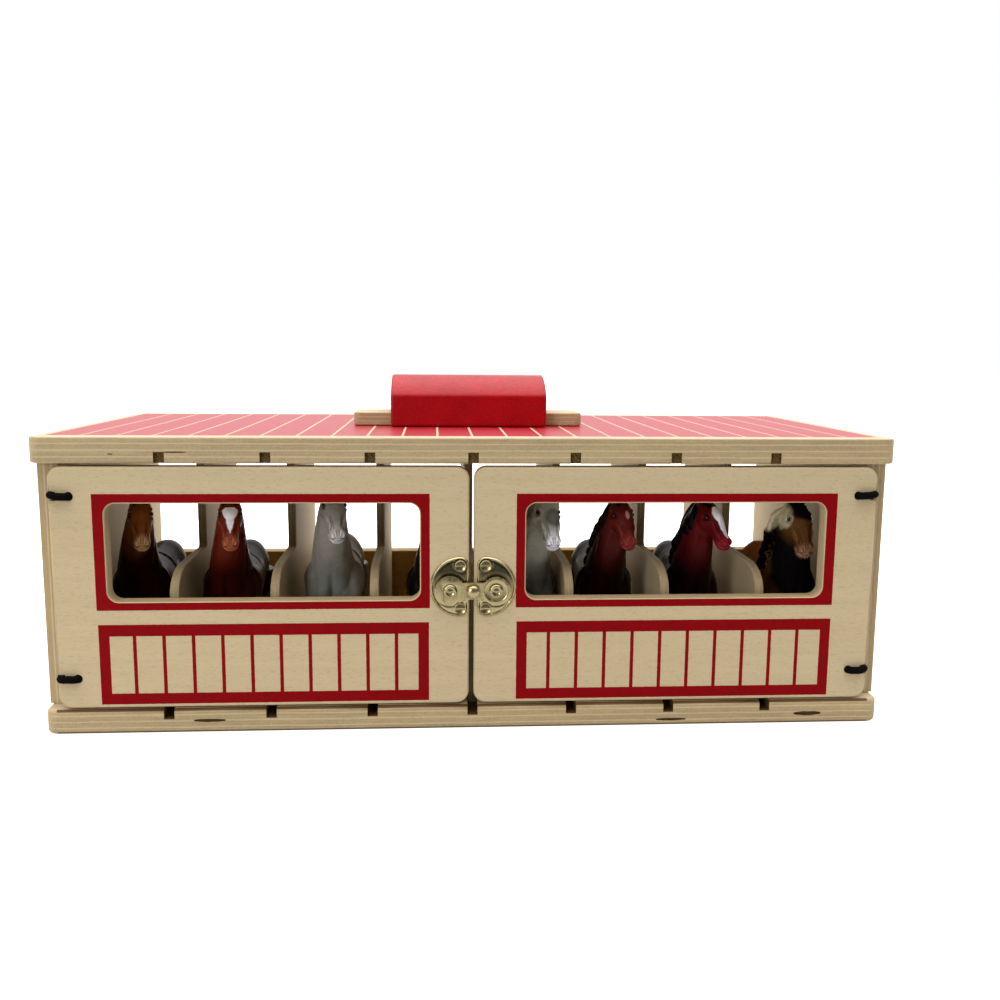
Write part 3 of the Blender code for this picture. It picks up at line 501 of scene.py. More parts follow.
def print_over(material, mask, ink, roughness, specular):
    """Lays screen ink over a plywood material where mask is 1: deep, almost matt, with a few
    pinholes over the wood's pores."""
    tree = material.node_tree
    shader = tree.nodes["Principled BSDF"]
    wood = shader.inputs["Base Color"].links[0].from_socket
    place = add(tree, "TexCoord").outputs["Object"]
    # Ink lies up to 10 % darker in clouds of 4 mm, and thins over pores of 0.5 mm
    cloud = add(tree, "TexNoise", {"Vector": place, "Scale": 250.0, "Detail": 3.0})
    pore = add(tree, "TexNoise", {"Vector": place, "Scale": 2000.0, "Detail": 1.0})
    film = toned(tree, ink, cloud, 0.3, 0.7, 0.9, 1.02)
    hole = add(tree, "MapRange", {0: pore, 1: 0.2, 2: 0.27, 3: 0.86, 4: 1.0})
    share = add(tree, "Math", {0: hole, 1: mask}, operation="MULTIPLY")
    inked = add(tree, "Mix", {0: share, 6: wood, 7: film}, data_type="RGBA")
    gloss = add(tree, "MapRange", {0: share, 3: 0.58, 4: roughness})
    connect(shader, {"Base Color": inked, "Roughness": gloss, "Specular IOR Level": specular})
    return material


def ragged_place(tree, reach):
    """Object coordinates, shaken by reach to give printed edges their small raggedness."""
    place = add(tree, "TexCoord").outputs["Object"]
    shake = add(tree, "TexNoise", {"Vector": place, "Scale": 1400.0, "Detail": 2.0})
    centred = add(
        tree, "VectorMath", {0: shake.outputs["Color"], 1: (0.5, 0.5, 0.5)}, operation="SUBTRACT"
    )
    scaled = add(tree, "VectorMath", {0: centred, "Scale": reach}, operation="SCALE")
    return add(tree, "VectorMath", {0: place, 1: scaled}, operation="ADD")


def inside(tree, value, low, high):
    """1 where value is between low and high."""
    return add(tree, "Math", {0: value, 1: (low + high) / 2, 2: (high - low) / 2}, operation="COMPARE")


def both(tree, first, second):
    return add(tree, "Math", {0: first, 1: second}, operation="MULTIPLY")


def either(tree, first, second):
    return add(tree, "Math", {0: first, 1: second}, operation="MAXIMUM")


def without(tree, first, second):
    return add(tree, "Math", {0: first, 1: second}, operation="SUBTRACT", use_clamp=True)


def printed_door(material):
    """The red window frame and the barred panel below it, on the front face only."""
    tree = material.node_tree
    parts = add(tree, "SeparateXYZ", {0: ragged_place(tree, 0.22 * MM)}).outputs
    across = add(tree, "Math", {0: parts[0]}, operation="ABSOLUTE")
    border = both(tree, inside(tree, across, *FRAME_X), inside(tree, parts[2], *FRAME_Z))
    panel = both(tree, inside(tree, across, *FENCE_X), inside(tree, parts[2], *FENCE_Z))
    field = both(tree, inside(tree, across, *FENCE_INNER_X), inside(tree, parts[2], *FENCE_INNER_Z))
    start = FENCE_MIDDLE_X - (FENCE_CELLS - 2) / 2 * FENCE_PITCH
    reach = {1: start + FENCE_PITCH / 2, 2: start - FENCE_PITCH / 2}
    step = add(tree, "Math", {0: across} | reach, operation="WRAP")
    off = add(tree, "Math", {0: step, 1: start}, operation="SUBTRACT")
    gap = add(tree, "Math", {0: off}, operation="ABSOLUTE")
    cell = add(tree, "Math", {0: gap, 1: FENCE_BAR / 2}, operation="GREATER_THAN")
    barred = without(tree, panel, both(tree, field, cell))
    facing = add(tree, "Attribute", attribute_name="facing").outputs["Vector"]
    ahead = add(tree, "SeparateXYZ", {0: facing}).outputs[1]
    flat = add(tree, "Math", {0: ahead, 1: 0.97}, operation="GREATER_THAN")
    front = add(tree, "Math", {0: parts[1], 1: (DOOR_LOW.y + DOOR_HIGH.y) / 2}, operation="LESS_THAN")
    mask = both(tree, either(tree, border, barred), both(tree, flat, front))
    return print_over(material, mask, colours().door_ink, 0.55, 0.05)


def printed_roof(material):
    """Red boards with pale lines between them, on the roof's top."""
    tree = material.node_tree
    parts = add(tree, "SeparateXYZ", {0: ragged_place(tree, 0.2 * MM)}).outputs
    across = inside(tree, parts[0], -ROOF_PRINT_X, ROOF_PRINT_X)
    field = both(tree, across, inside(tree, parts[1], *ROOF_PRINT_Y))
    low = BOARD_LINE_X - BOARD_PITCH / 2
    step = add(tree, "Math", {0: parts[0], 1: low + BOARD_PITCH, 2: low}, operation="WRAP")
    half = sizes().board_line / 2
    line = inside(tree, step, BOARD_LINE_X - half, BOARD_LINE_X + half)
    top = add(tree, "Math", {0: parts[2], 1: ROOF_HIGH.z - 0.1 * MM}, operation="GREATER_THAN")
    mask = both(tree, without(tree, field, line), top)
    return print_over(material, mask, colours().roof_ink, 0.36, 0.5)


def red_lacquer():
    """Sprayed nitro lacquer on solid beech: a saturated red, satin, with fine orange peel and the
    wood's pores telegraphing through."""
    material, tree, shader = new_material("red_lacquer_on_beech", IOR=1.48, Specular_IOR_Level=0.2)
    place = add(tree, "TexCoord").outputs["Object"]
    # Orange peel cells of 0.9 mm, pores 6 mm by 0.5 mm along the block
    peel = add(tree, "TexNoise", {"Vector": place, "Scale": 1100.0, "Detail": 3.0, "Roughness": 0.6})
    along = add(tree, "VectorMath", {0: place, 1: (160.0, 2000.0, 2000.0)}, operation="MULTIPLY")
    pores = add(tree, "TexNoise", {"Vector": along, "Scale": 1.0, "Detail": 2.0})
    height = add(tree, "Math", {0: peel, 1: pores}, operation="ADD")
    bump = add(tree, "Bump", {"Strength": 0.5, "Distance": 0.0002, "Height": height})
    cloud = add(tree, "TexNoise", {"Vector": place, "Scale": 90.0, "Detail": 3.0})
    paint = toned(tree, colours().red_paint, cloud, 0.3, 0.7, 0.86, 1.06)
    gloss = add(tree, "MapRange", {0: peel, 1: 0.3, 2: 0.7, 3: 0.22, 4: 0.40})
    connect(shader, {"Base Color": paint, "Roughness": gloss, "Normal": bump})
    return material


def plated_metal(name, colour, roughness, wear_mm, dark_reflection=None):
    """Stamped steel with a thin plated coat: a soft metallic sheen with faint handling haze,
    duller in patches a few millimetres across. A dark reflection is painted over the field between two
    heights, darkest at the top, but not where the attribute marks a part kept bright."""
    material, tree, shader = new_material(name, Metallic=1.0)
    place = add(tree, "TexCoord").outputs["Object"]
    haze = add(tree, "TexNoise", {"Vector": place, "Scale": 1000 / wear_mm, "Detail": 4.0})
    gloss = add(tree, "MapRange", {0: haze, 1: 0.3, 2: 0.7, 3: roughness * 0.75, 4: roughness * 1.3})
    tone = add(tree, "MapRange", {0: haze, 1: 0.3, 2: 0.7, 3: 0.84, 4: 1.04})
    if dark_reflection:
        height = add(tree, "SeparateXYZ", {0: place}).outputs[2]
        bare = add(tree, "Attribute", attribute_name="bare").outputs["Fac"]
        high = add(tree, "MapRange", {0: height, 1: dark_reflection[0], 2: dark_reflection[1], 3: 1.0, 4: 0.2})
        kept = add(tree, "Math", {0: high, 1: bare}, operation="MAXIMUM")
        tone = add(tree, "Math", {0: tone, 1: kept}, operation="MULTIPLY")
    coat = add(tree, "VectorMath", {0: tuple(colour)[:3], "Scale": tone}, operation="SCALE")
    grit = add(tree, "TexNoise", {"Vector": place, "Scale": 3500.0, "Detail": 2.0})
    bump = add(tree, "Bump", {"Strength": 0.08, "Distance": 0.00005, "Height": grit})
    connect(shader, {"Base Color": coat, "Roughness": gloss, "Normal": bump})
    return material


def braided_elastic():
    """Polyester braid over rubber: near black and matt, its raised threads painted lighter than the hollows
    between them, as painted light and shade.
    """
    values = {"Roughness": 0.82, "IOR": 1.5, "Specular_IOR_Level": 0.06}
    material, tree, shader = new_material("braided_elastic", **values)
    weave = add(tree, "Attribute", attribute_name="weave").outputs["Fac"]
    lit = tuple(v * 2.4 for v in tuple(colours().elastic)[:3]) + (1.0,)
    tone = add(tree, "Mix", {0: weave, 6: colours().elastic, 7: lit}, data_type="RGBA")
    connect(shader, {"Base Color": tone})
    return material


def painted_vinyl(name, roughness):
    """Hollow moulded vinyl with an airbrushed coat: satin, with soft colour changes and the fine
    grain of the spray."""
    material, tree, shader = new_material(name, IOR=1.3, Specular_IOR_Level=0.13)
    # The coat attribute holds the coat's colours with painted shade and highlights laid in
    coat = add(tree, "Attribute", attribute_name="coat").outputs["Color"]
    place = add(tree, "TexCoord").outputs["Object"]
    # Spray grain of 0.35 mm, colour clouds of 5 mm
    grain = add(tree, "TexNoise", {"Vector": place, "Scale": 2800.0, "Detail": 1.0})
    cloud = add(tree, "TexNoise", {"Vector": place, "Scale": 200.0, "Detail": 3.0})
    mixed = add(tree, "Math", {0: grain, 1: cloud}, operation="ADD")
    paint = toned(tree, coat, mixed, 0.7, 1.3, 0.82, 1.18)
    gloss = add(tree, "MapRange", {0: cloud, 1: 0.3, 2: 0.7, 3: roughness * 0.85, 4: roughness * 1.2})
    bump = add(tree, "Bump", {"Strength": 0.12, "Distance": 0.00006, "Height": mixed})
    connect(shader, {"Base Color": paint, "Roughness": gloss, "Normal": bump})
    return material


def lit_table():
    """White acrylic lit softly from below so that it shows no shadow. Only its own light, not the
    lamp inside it, reaches the stable, and a black card lies in front of it, out of sight."""
    material, tree, shader = new_material("lit_white_table", Roughness=0.7, Specular_IOR_Level=0.0)
    place = add(tree, "TexCoord").outputs["Object"]
    cloud = add(tree, "TexNoise", {"Vector": place, "Scale": 3.0, "Detail": 2.0})
    white = add(tree, "MapRange", {0: cloud, 3: 0.60, 4: 0.64})
    depth = add(tree, "SeparateXYZ", {0: place}).outputs[1]
    card = add(tree, "MapRange", {0: depth, 1: -0.55, 2: -0.22, 3: 0.08, 4: 1.0})
    tone = add(tree, "Math", {0: white, 1: card}, operation="MULTIPLY")
    table = add(tree, "VectorMath", {0: tuple(colours().floor)[:3], "Scale": tone}, operation="SCALE")
    glow = add(tree, "Math", {0: card, 1: 0.12}, operation="MULTIPLY")
    seen = add(tree, "LightPath").outputs["Is Camera Ray"]
    lamp = add(tree, "Mix", {0: seen, 2: glow, 3: 1.1})
    connect(shader, {"Base Color": table, "Emission Color": colours().floor, "Emission Strength": lamp})
    return material


# Boards


def divider_places():
    return [(i - STALLS / 2) * STALL_PITCH for i in range(1, STALLS)]


def groove_cutter(name, low_z, high_z):
    """The dividers' grooves, open at the front and stopped at the rail."""
    half = (DIVIDER_HIGH.x - DIVIDER_LOW.x) / 2 + FIT_GAP
    bm = bmesh.new()
    for x in divider_places():
        outline = rectangle((x - half, FRONT_Y - OVERRUN), (x + half, RAIL_LOW.y))
        add_prism(bm, outline, "XY", low_z, high_z)
    return loose_object(name, bm)


def housing_cutter(name, low_z, high_z):
    bm = bmesh.new()
    for side in (-1, 1):
        edges = sorted((side * (WALL_LOW.x - FIT_GAP), side * (WALL_HIGH.x - HOUSING_DEPTH + FIT_GAP)))
        outline = rectangle((edges[0], WALL_LOW.y - FIT_GAP), (edges[1], WALL_HIGH.y + FIT_GAP))
        add_prism(bm, outline, "XY", low_z, high_z)
    return loose_object(name, bm)


def void_cutter(name, rows):
    """Gaps in the core plies that show along a front edge: long, thin, ragged pockets."""
    pick = random.Random(sizes().seed)
    bm = bmesh.new()
    for x, z, length, height in rows:
        top = []
        bottom = []
        for i in range(9):
            share = i / 8
            swell = math.sin(math.pi * min(max(share, 0.04), 0.96)) ** 0.35
            top.append((x + (share - 0.5) * length, z + swell * height * pick.uniform(0.38, 0.5)))
            bottom.append((x + (share - 0.5) * length, z - swell * height * pick.uniform(0.38, 0.5)))
        add_prism(bm, bottom + top[::-1], "XZ", FRONT_Y - OVERRUN, FRONT_Y + 1.4 * MM)
    return loose_object(name, bm)


def mark_cuts(mesh, low, high):
    """Marks the walls of grooves and voids, which lie inside the panel's own faces, for painted shade."""
    margin = 0.3 * MM
    count = len(mesh.polygons)
    centres = np.zeros(count * 3, np.float32)
    mesh.polygons.foreach_get("center", centres)
    centres = centres.reshape(-1, 3)
    inner = np.abs(centres[:, 0]) < high[0] - 2 * PANEL_CORNER
    for axis in (1, 2):
        inner &= centres[:, axis] > low[axis] + margin
        inner &= centres[:, axis] < high[axis] - margin
    layer = mesh.attributes.new("saw_cut", "FLOAT", "FACE")
    layer.data.foreach_set("value", inner.astype(np.float32))


def make_base():
    outline = rounded_rectangle(BASE_LOW[:2], BASE_HIGH[:2], PANEL_CORNER)
    base = prism("base", outline, "XY", 0, BASE_HIGH.z)
    soften(base, sizes().base_rounding, 4)
    combine(base, groove_cutter("base_grooves", BASE_HIGH.z - GROOVE_DEPTH, BASE_HIGH.z + OVERRUN))
    combine(base, housing_cutter("base_housings", BASE_HIGH.z - HOUSING_DEPTH, BASE_HIGH.z + OVERRUN))
    combine(base, void_cutter("base_voids", BASE_VOIDS))
    mesh = plain_mesh(base)
    mark_cuts(mesh, BASE_LOW, BASE_HIGH)
    shade_boards(mesh)
    wood = plywood("birch_plywood_base", 2, 0, 0.0, BASE_HIGH.z, 4)
    finish_piece(base, "cabinet", [wood], ["base_panel"])


def make_roof():
    outline = rounded_rectangle(ROOF_LOW[:2], ROOF_HIGH[:2], PANEL_CORNER)
    roof = prism("roof", outline, "XY", ROOF_LOW.z, ROOF_HIGH.z)
    soften(roof, sizes().panel_rounding)
    combine(roof, groove_cutter("roof_grooves", ROOF_LOW.z - OVERRUN, ROOF_LOW.z + GROOVE_DEPTH))
    combine(roof, housing_cutter("roof_housings", ROOF_LOW.z - OVERRUN, ROOF_LOW.z + HOUSING_DEPTH))
    combine(roof, void_cutter("roof_voids", ROOF_VOIDS))
    bm = bmesh.new()
    profile = [(0, -OVERRUN), (3.75 * MM, -OVERRUN), (3.75 * MM, FIT_GAP), (2.05 * MM, 2.65 * MM)]
    profile += [(2.05 * MM, 30 * MM), (0, 30 * MM)]
    for name in ("handle_screw_left", "handle_screw_right"):
        at = middle(name)
        add_turned(bm, profile, (at.x, at.y, ROOF_LOW.z), (0, 0, 1), 24)
    combine(roof, loose_object("roof_screw_holes", bm))
    mesh = plain_mesh(roof)
    mark_cuts(mesh, ROOF_LOW, ROOF_HIGH)
    shade_boards(mesh)
    wood = plywood("printed_birch_plywood_roof", 2, 0, ROOF_LOW.z, ROOF_HIGH.z - ROOF_LOW.z, 4)
    finish_piece(roof, "cabinet", [printed_roof(wood)], ["roof_panel"])
    make_groove_shade_plugs()


def make_groove_shade_plugs():
    """Dark plugs in the mouths of the roof's grooves, painted shade that stands for the dark inside them:
    rough, faintly ridged.
    """
    pick = random.Random(sizes().seed)
    half = (DIVIDER_HIGH.x - DIVIDER_LOW.x) / 2 + FIT_GAP
    bm = bmesh.new()
    for x in divider_places():
        steps = 9
        rows = []
        for k in range(steps + 1):
            z = ROOF_LOW.z + 0.05 * MM + (GROOVE_DEPTH - 0.1 * MM) * k / steps
            row = []
            for j in range(steps + 1):
                across = x + (half - 0.02 * MM) * (2 * j / steps - 1)
                ridge = 0.25 * MM * math.cos(1.4 * (j + k)) + pick.uniform(-0.12, 0.12) * MM
                row.append(bm.verts.new((across, PLUG_FRONT_Y + ridge, z)))
            rows.append(row)
        for low, high in zip(rows, rows[1:]):
            for j in range(steps):
                bm.faces.new((low[j], low[j + 1], high[j + 1], high[j]))
        rim = [e for e in bm.edges if len(e.link_faces) == 1 and abs(e.verts[0].co.x - x) < STALL_PITCH / 3]
        walls = bmesh.ops.extrude_edge_only(bm, edges=rim)["geom"]
        far = [v for v in walls if isinstance(v, bmesh.types.BMVert)]
        for vertex in far:
            vertex.co.y = PLUG_FRONT_Y + 3 * MM
        bmesh.ops.contextual_create(bm, geom=[e for e in walls if isinstance(e, bmesh.types.BMEdge)])
    plugs = loose_object("groove_plugs", bm)
    material, tree, shader = new_material("dried_glue_and_sawdust", Roughness=0.9)
    place = add(tree, "TexCoord").outputs["Object"]
    # Grains of 0.6 mm
    grain = add(tree, "TexNoise", {"Vector": place, "Scale": 1600.0, "Detail": 3.0})
    mouth_shade = toned(tree, colours().mouth_shade, grain, 0.3, 0.7, 0.5, 1.6)
    connect(shader, {"Base Color": mouth_shade})
    finish_piece(plugs, "cabinet", [material])


def make_side_walls():
    """Walls with shouldered tongues in base and roof, and holes for the cords."""
    for word, side in (("left", -1), ("right", 1)):
        inner = side * WALL_LOW.x
        outer = side * WALL_HIGH.x
        tongue = side * (WALL_HIGH.x - HOUSING_DEPTH)
        low = BASE_HIGH.z + FIT_GAP
        high = ROOF_LOW.z - FIT_GAP
        outline = [(inner, WALL_LOW.z), (tongue, WALL_LOW.z), (tongue, low), (outer, low), (outer, high)]
        outline += [(tongue, high), (tongue, WALL_HIGH.z), (inner, WALL_HIGH.z)]
        wall = prism(f"wall_{word}", outline, "XZ", WALL_LOW.y, WALL_HIGH.y)
        soften(wall, sizes().soft_edge, 2)
        bm = bmesh.new()
        hole = CORD_RADIUS + FIT_GAP
        profile = [(0, -OVERRUN), (hole, -OVERRUN), (hole, 12.25 * MM), (0, 12.25 * MM)]
        for z in CORD_HEIGHTS.values():
            add_turned(bm, profile, (side * CORD_WALL_X, WALL_LOW.y, z), (0, 1, 0), 24)
        combine(wall, loose_object("wall_holes", bm))
        shade_boards(plain_mesh(wall))
        wood = plywood(f"birch_plywood_wall_{word}", 0, 2, min(inner, outer), WALL_HIGH.x - WALL_LOW.x, 3)
        finish_piece(wall, "cabinet", [wood], [f"side_wall_{word}"])


def make_rail():
    outline = rectangle((RAIL_LOW.x, RAIL_LOW.z), (RAIL_HIGH.x, RAIL_HIGH.z))
    rail = prism("rail", outline, "XZ", RAIL_LOW.y, RAIL_HIGH.y)
    soften(rail, sizes().panel_rounding)
    shade_boards(plain_mesh(rail))
    thick = RAIL_HIGH.y - RAIL_LOW.y
    # The rail's veneer is a darker copy of the birch: painted shade
    wood = plywood("birch_plywood_rail", 1, 0, RAIL_LOW.y, thick, 3, veneer=colours().rail)
    finish_piece(rail, "cabinet", [wood], ["back_rail"])


def open_tree(name, inputs):
    """A geometry node tree with named inputs, and what those inputs give."""
    tree = bpy.data.node_groups.new(name, "GeometryNodeTree")
    tree.interface.new_socket("Geometry", in_out="OUTPUT", socket_type="NodeSocketGeometry")
    for label, kind in inputs.items():
        tree.interface.new_socket(label, in_out="INPUT", socket_type="NodeSocket" + kind)
    return tree, add(tree, "NodeGroupInput").outputs


def close_tree(tree, laid, finish):
    """Makes the instances real, with one material, as the tree's result."""
    real = add(tree, "GeometryNodeRealizeInstances", {0: laid})
    paint = add(tree, "GeometryNodeSetMaterial", {"Geometry": real, "Material": finish})
    add(tree, "NodeGroupOutput", {0: paint})
    return tree


def row_tree():
    """A node tree that repeats an object along a line."""
    tree = bpy.data.node_groups.get("row_of_pieces")
    if tree:
        return tree
    inputs = {"Pattern": "Object", "Count": "Int", "Start": "Vector", "Step": "Vector", "Finish": "Material"}
    tree, given = open_tree("row_of_pieces", inputs)
    line = add(
        tree,
        "GeometryNodeMeshLine",
        {"Count": given["Count"], "Start Location": given["Start"], "Offset": given["Step"]},
        mode="OFFSET",
    )
    pattern = add(tree, "GeometryNodeObjectInfo", {"Object": given["Pattern"]})
    feeds = {"Points": line, "Instance": pattern.outputs["Geometry"]}
    return close_tree(tree, add(tree, "GeometryNodeInstanceOnPoints", feeds), given["Finish"])


def grown_piece(name, tree, values, host=None):
    """Runs a node tree with the given inputs, and returns its result as a plain mesh object."""
    item = bpy.data.objects.new(name, host or bpy.data.meshes.new(name + "_host"))
    bpy.context.scene.collection.objects.link(item)
    modifier = item.modifiers.new(name, "NODES")
    modifier.node_group = tree
    for socket in tree.interface.items_tree:
        if socket.item_type == "SOCKET" and socket.in_out == "INPUT" and socket.name in values:
            modifier[socket.identifier] = values[socket.name]
    bpy.context.view_layer.update()
    graph = bpy.context.evaluated_depsgraph_get()
    mesh = bpy.data.meshes.new_from_object(item.evaluated_get(graph))
    mesh.name = name
    item.modifiers.clear()
    item.data = mesh
    return item


def grown_row(name, pattern, count, start, step, finish):
    """Repeats a pattern along a line as one piece, and removes the pattern."""
    values = {"Pattern": pattern, "Count": count, "Start": start, "Step": step, "Finish": finish}
    row = grown_piece(name, row_tree(), values)
    bpy.data.objects.remove(pattern)
    return row


def make_dividers():
    """Seven thin dividers, low and round shouldered in front, full posts behind."""
    front = DIVIDER_LOW.y
    back = DIVIDER_HIGH.y
    centre = (front + SHOULDER[0], LOW_TOP - SHOULDER[1])
    outline = [(front, DIVIDER_LOW.z)] + arc(centre, SHOULDER, 180, 90, 18)
    outline += arc((POST_Y - 2 * MM, LOW_TOP + 2 * MM), (2 * MM, 2 * MM), 270, 360, 4)
    outline += [(POST_Y, DIVIDER_HIGH.z), (back, DIVIDER_HIGH.z), (back, DIVIDER_LOW.z)]
    pattern = prism("divider_pattern", outline, "YZ", DIVIDER_LOW.x, DIVIDER_HIGH.x)
    soften(pattern, sizes().soft_edge, 2)
    shade_boards(plain_mesh(pattern))
    wood = plywood("thin_birch_plywood", 0, 2, DIVIDER_LOW.x, DIVIDER_HIGH.x - DIVIDER_LOW.x, 2, STALL_PITCH)
    start = (divider_places()[0] + FIT_GAP, 0, 0)
    row = grown_row("dividers", pattern, STALLS - 1, start, (STALL_PITCH, 0, 0), wood)
    nodes = [f"stall_divider_{i}" for i in range(1, STALLS)]
    finish_piece(row, "cabinet", [wood], nodes)


def make_door(word, side):
    edges = sorted((side * DOOR_LOW.x - SLOT_SHIFT, side * DOOR_HIGH.x))
    outline = rounded_rectangle((edges[0], DOOR_LOW.z), (edges[1], DOOR_HIGH.z - DOOR_DROP), PANEL_CORNER)
    door = prism(f"panel_{word}_door", outline, "XZ", DOOR_LOW.y, DOOR_HIGH.y)
    soften(door, sizes().panel_rounding)
    edges = sorted((side * WINDOW_X[0], side * WINDOW_X[1]))
    window = rounded_rectangle((edges[0], WINDOW_Z[0]), (edges[1], WINDOW_Z[1]), WINDOW_CORNER)
    combine(door, prism("window_cutter", window, "XZ", DOOR_LOW.y - OVERRUN, DOOR_HIGH.y + OVERRUN))
    soften(door, sizes().window_rounding)
    bm = bmesh.new()
    cord = CORD_RADIUS + FIT_GAP
    deep = DOOR_HIGH.y - DOOR_LOW.y + 2 * OVERRUN
    for z in CORD_HEIGHTS.values():
        foot = (side * CORD_DOOR_X, DOOR_LOW.y - OVERRUN, z)
        add_turned(bm, [(0, 0), (cord, 0), (cord, deep), (0, deep)], foot, (0, 1, 0), 24)
        edges = sorted((side * CORD_EDGE_X, side * (DOOR_HIGH.x + OVERRUN)))
        notch = rectangle((edges[0], z - cord), (edges[1], z + cord))
        add_prism(bm, notch, "XZ", DOOR_LOW.y - OVERRUN, DOOR_HIGH.y + OVERRUN)
    for x, z, wide, reach in FIXING_HOLES:
        profile = [(0, -OVERRUN), (wide, -OVERRUN), (wide, reach), (0, reach)]
        add_turned(bm, profile, (side * x, DOOR_LOW.y, z), (0, 1, 0), 20)
    combine(door, loose_object("door_holes", bm))
    shade_boards(plain_mesh(door))
    wood = plywood(f"printed_birch_plywood_door_{word}", 1, 0, DOOR_LOW.y, DOOR_HIGH.y - DOOR_LOW.y, 3)
    finish_piece(door, f"{word}_door", [printed_door(wood)], [f"door_{word}"])


# Handle


def make_handle():
    outline = rounded_rectangle(REST_LOW[:2], REST_HIGH[:2], 3 * MM)
    rest = prism("handle_rest", outline, "XY", REST_LOW.z, REST_HIGH.z)
    soften(rest, 0.6 * MM)
    shade_boards(plain_mesh(rest))
    wood = plywood("birch_plywood_handle", 2, 0, REST_LOW.z, REST_HIGH.z - REST_LOW.z, 3)
    finish_piece(rest, "cabinet", [wood], ["handle_plate"])
    centre_y = (GRIP_LOW.y + GRIP_HIGH.y) / 2
    half = (GRIP_HIGH.y - GRIP_LOW.y) / 2
    radius = (half * half + GRIP_RISE * GRIP_RISE) / (2 * GRIP_RISE)
    angle = math.degrees(math.asin(half / radius))
    channel = (REST_HIGH.y - REST_LOW.y) / 2 + FIT_GAP
    top = arc((centre_y, GRIP_HIGH.z - radius), (radius, radius), 90 - angle, 90 + angle, 36)
    outline = [(centre_y + channel, GRIP_LOW.z), (centre_y + half, GRIP_LOW.z)] + top
    outline += [(centre_y - half, GRIP_LOW.z), (centre_y - channel, GRIP_LOW.z)]
    outline += [(centre_y - channel, REST_HIGH.z + FIT_GAP), (centre_y + channel, REST_HIGH.z + FIT_GAP)]
    grip = prism("grip", outline, "YZ", GRIP_LOW.x, GRIP_HIGH.x)
    soften(grip, sizes().grip_rounding, 4)
    shade_boards(plain_mesh(grip))
    finish_piece(grip, "cabinet", [red_lacquer()], ["handle_block"])


def make_screws():
    """Two countersunk screws with cross recesses, seen from inside the stable."""
    low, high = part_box("handle_screw_left")
    bm = bmesh.new()
    shank = SCREW_SHANK
    length = high.z - low.z
    profile = [(0, 0), (SCREW_HEAD, 0), (SCREW_HEAD, 0.15 * MM), (shank, 2.4 * MM)]
    for i in range(SCREW_TURNS):
        foot = 4 * MM + i * 1.25 * MM
        profile += [(shank * 0.72, foot), (shank, foot + 0.5 * MM), (shank, foot + 0.62 * MM)]
    profile += [(shank * 0.72, length - 2.5 * MM), (0, length)]
    add_turned(bm, profile, (0, 0, 0), (0, 0, 1), 24)
    pattern = loose_object("screw_pattern", bm)
    for turn in (0, 90):
        cross = bmesh.new()
        ring = [Matrix.Rotation(math.radians(turn), 3, "Z") @ Vector((x, y, 0)) for x, y in
                rectangle((-1.9 * MM, -0.4 * MM), (1.9 * MM, 0.4 * MM))]
        rings = []
        for z, shrink in ((-1 * MM, 1.0), (0.6 * MM, 0.9), (1.6 * MM, 0.35)):
            rings.append([cross.verts.new((p.x * shrink, p.y * shrink, z)) for p in ring])
        skin_rings(cross, rings)
        combine(pattern, loose_object(f"cross_recess_{turn}", cross))
    shade_curved(plain_mesh(pattern), 35)
    zinc = plated_metal("zinc_plated_steel", colours().zinc, 0.32, 2.0)
    first = middle("handle_screw_left")
    step = middle("handle_screw_right") - first
    row = grown_row("grip_screws", pattern, 2, (first.x, first.y, low.z), step, zinc)
    finish_piece(row, "cabinet", [zinc], ["handle_screw_left", "handle_screw_right"])


# Latch


def relief_plate(name, back, spokes, rings):
    """The right latch plate from a polar grid: its front stands off the back by plate_height."""
    bm = bmesh.new()
    front = []
    rear = []
    for i in range(rings + 1):
        share = 1 - (1 - i / rings) ** 1.5
        front_ring = []
        for j in range(spokes):
            angle = 2 * math.pi * j / spokes
            reach = plate_reach(angle) * share
            x = PLATE_CENTRE[0] + reach * math.cos(angle)
            z = PLATE_CENTRE[1] + reach * math.sin(angle)
            if i == 0 and j > 0:
                break
            front_ring.append(bm.verts.new((x, back - plate_height(x, z), z)))
            if i == rings:
                rear.append(bm.verts.new((x, back, z)))
        front.append(front_ring)
    skin_rings(bm, front + [rear], closed=False)
    bm.faces.new(rear)
    return loose_object(name, bm)


def plate_edge(x, z):
    """How far a point of the right plate lies inside its outline."""
    if x >= PLATE_X:
        return PLATE_BOW - math.hypot(x - PLATE_X, z - PLATE_Z)
    rise = abs(z - PLATE_Z) - NAIL_RISE
    if rise > 0:
        return PLATE_CORNER - math.hypot(x - PLATE_X, rise)
    return x - (PLATE_X - PLATE_CORNER)


def plate_reach(angle):
    """Distance from the plate's grid centre to its outline along an angle."""
    low = 0.0
    high = 16 * MM
    x, z = PLATE_CENTRE
    for _ in range(26):
        reach = (low + high) / 2
        if plate_edge(x + reach * math.cos(angle), z + reach * math.sin(angle)) > 0:
            low = reach
        else:
            high = reach
    return low


def bell(value, centre, width):
    """1 at the centre, falling away smoothly on both sides."""
    return math.exp(-(((value - centre) / width) ** 2))


def smooth_step(value, low, high):
    share = min(max((value - low) / (high - low), 0.0), 1.0)
    return share * share * (3 - 2 * share)


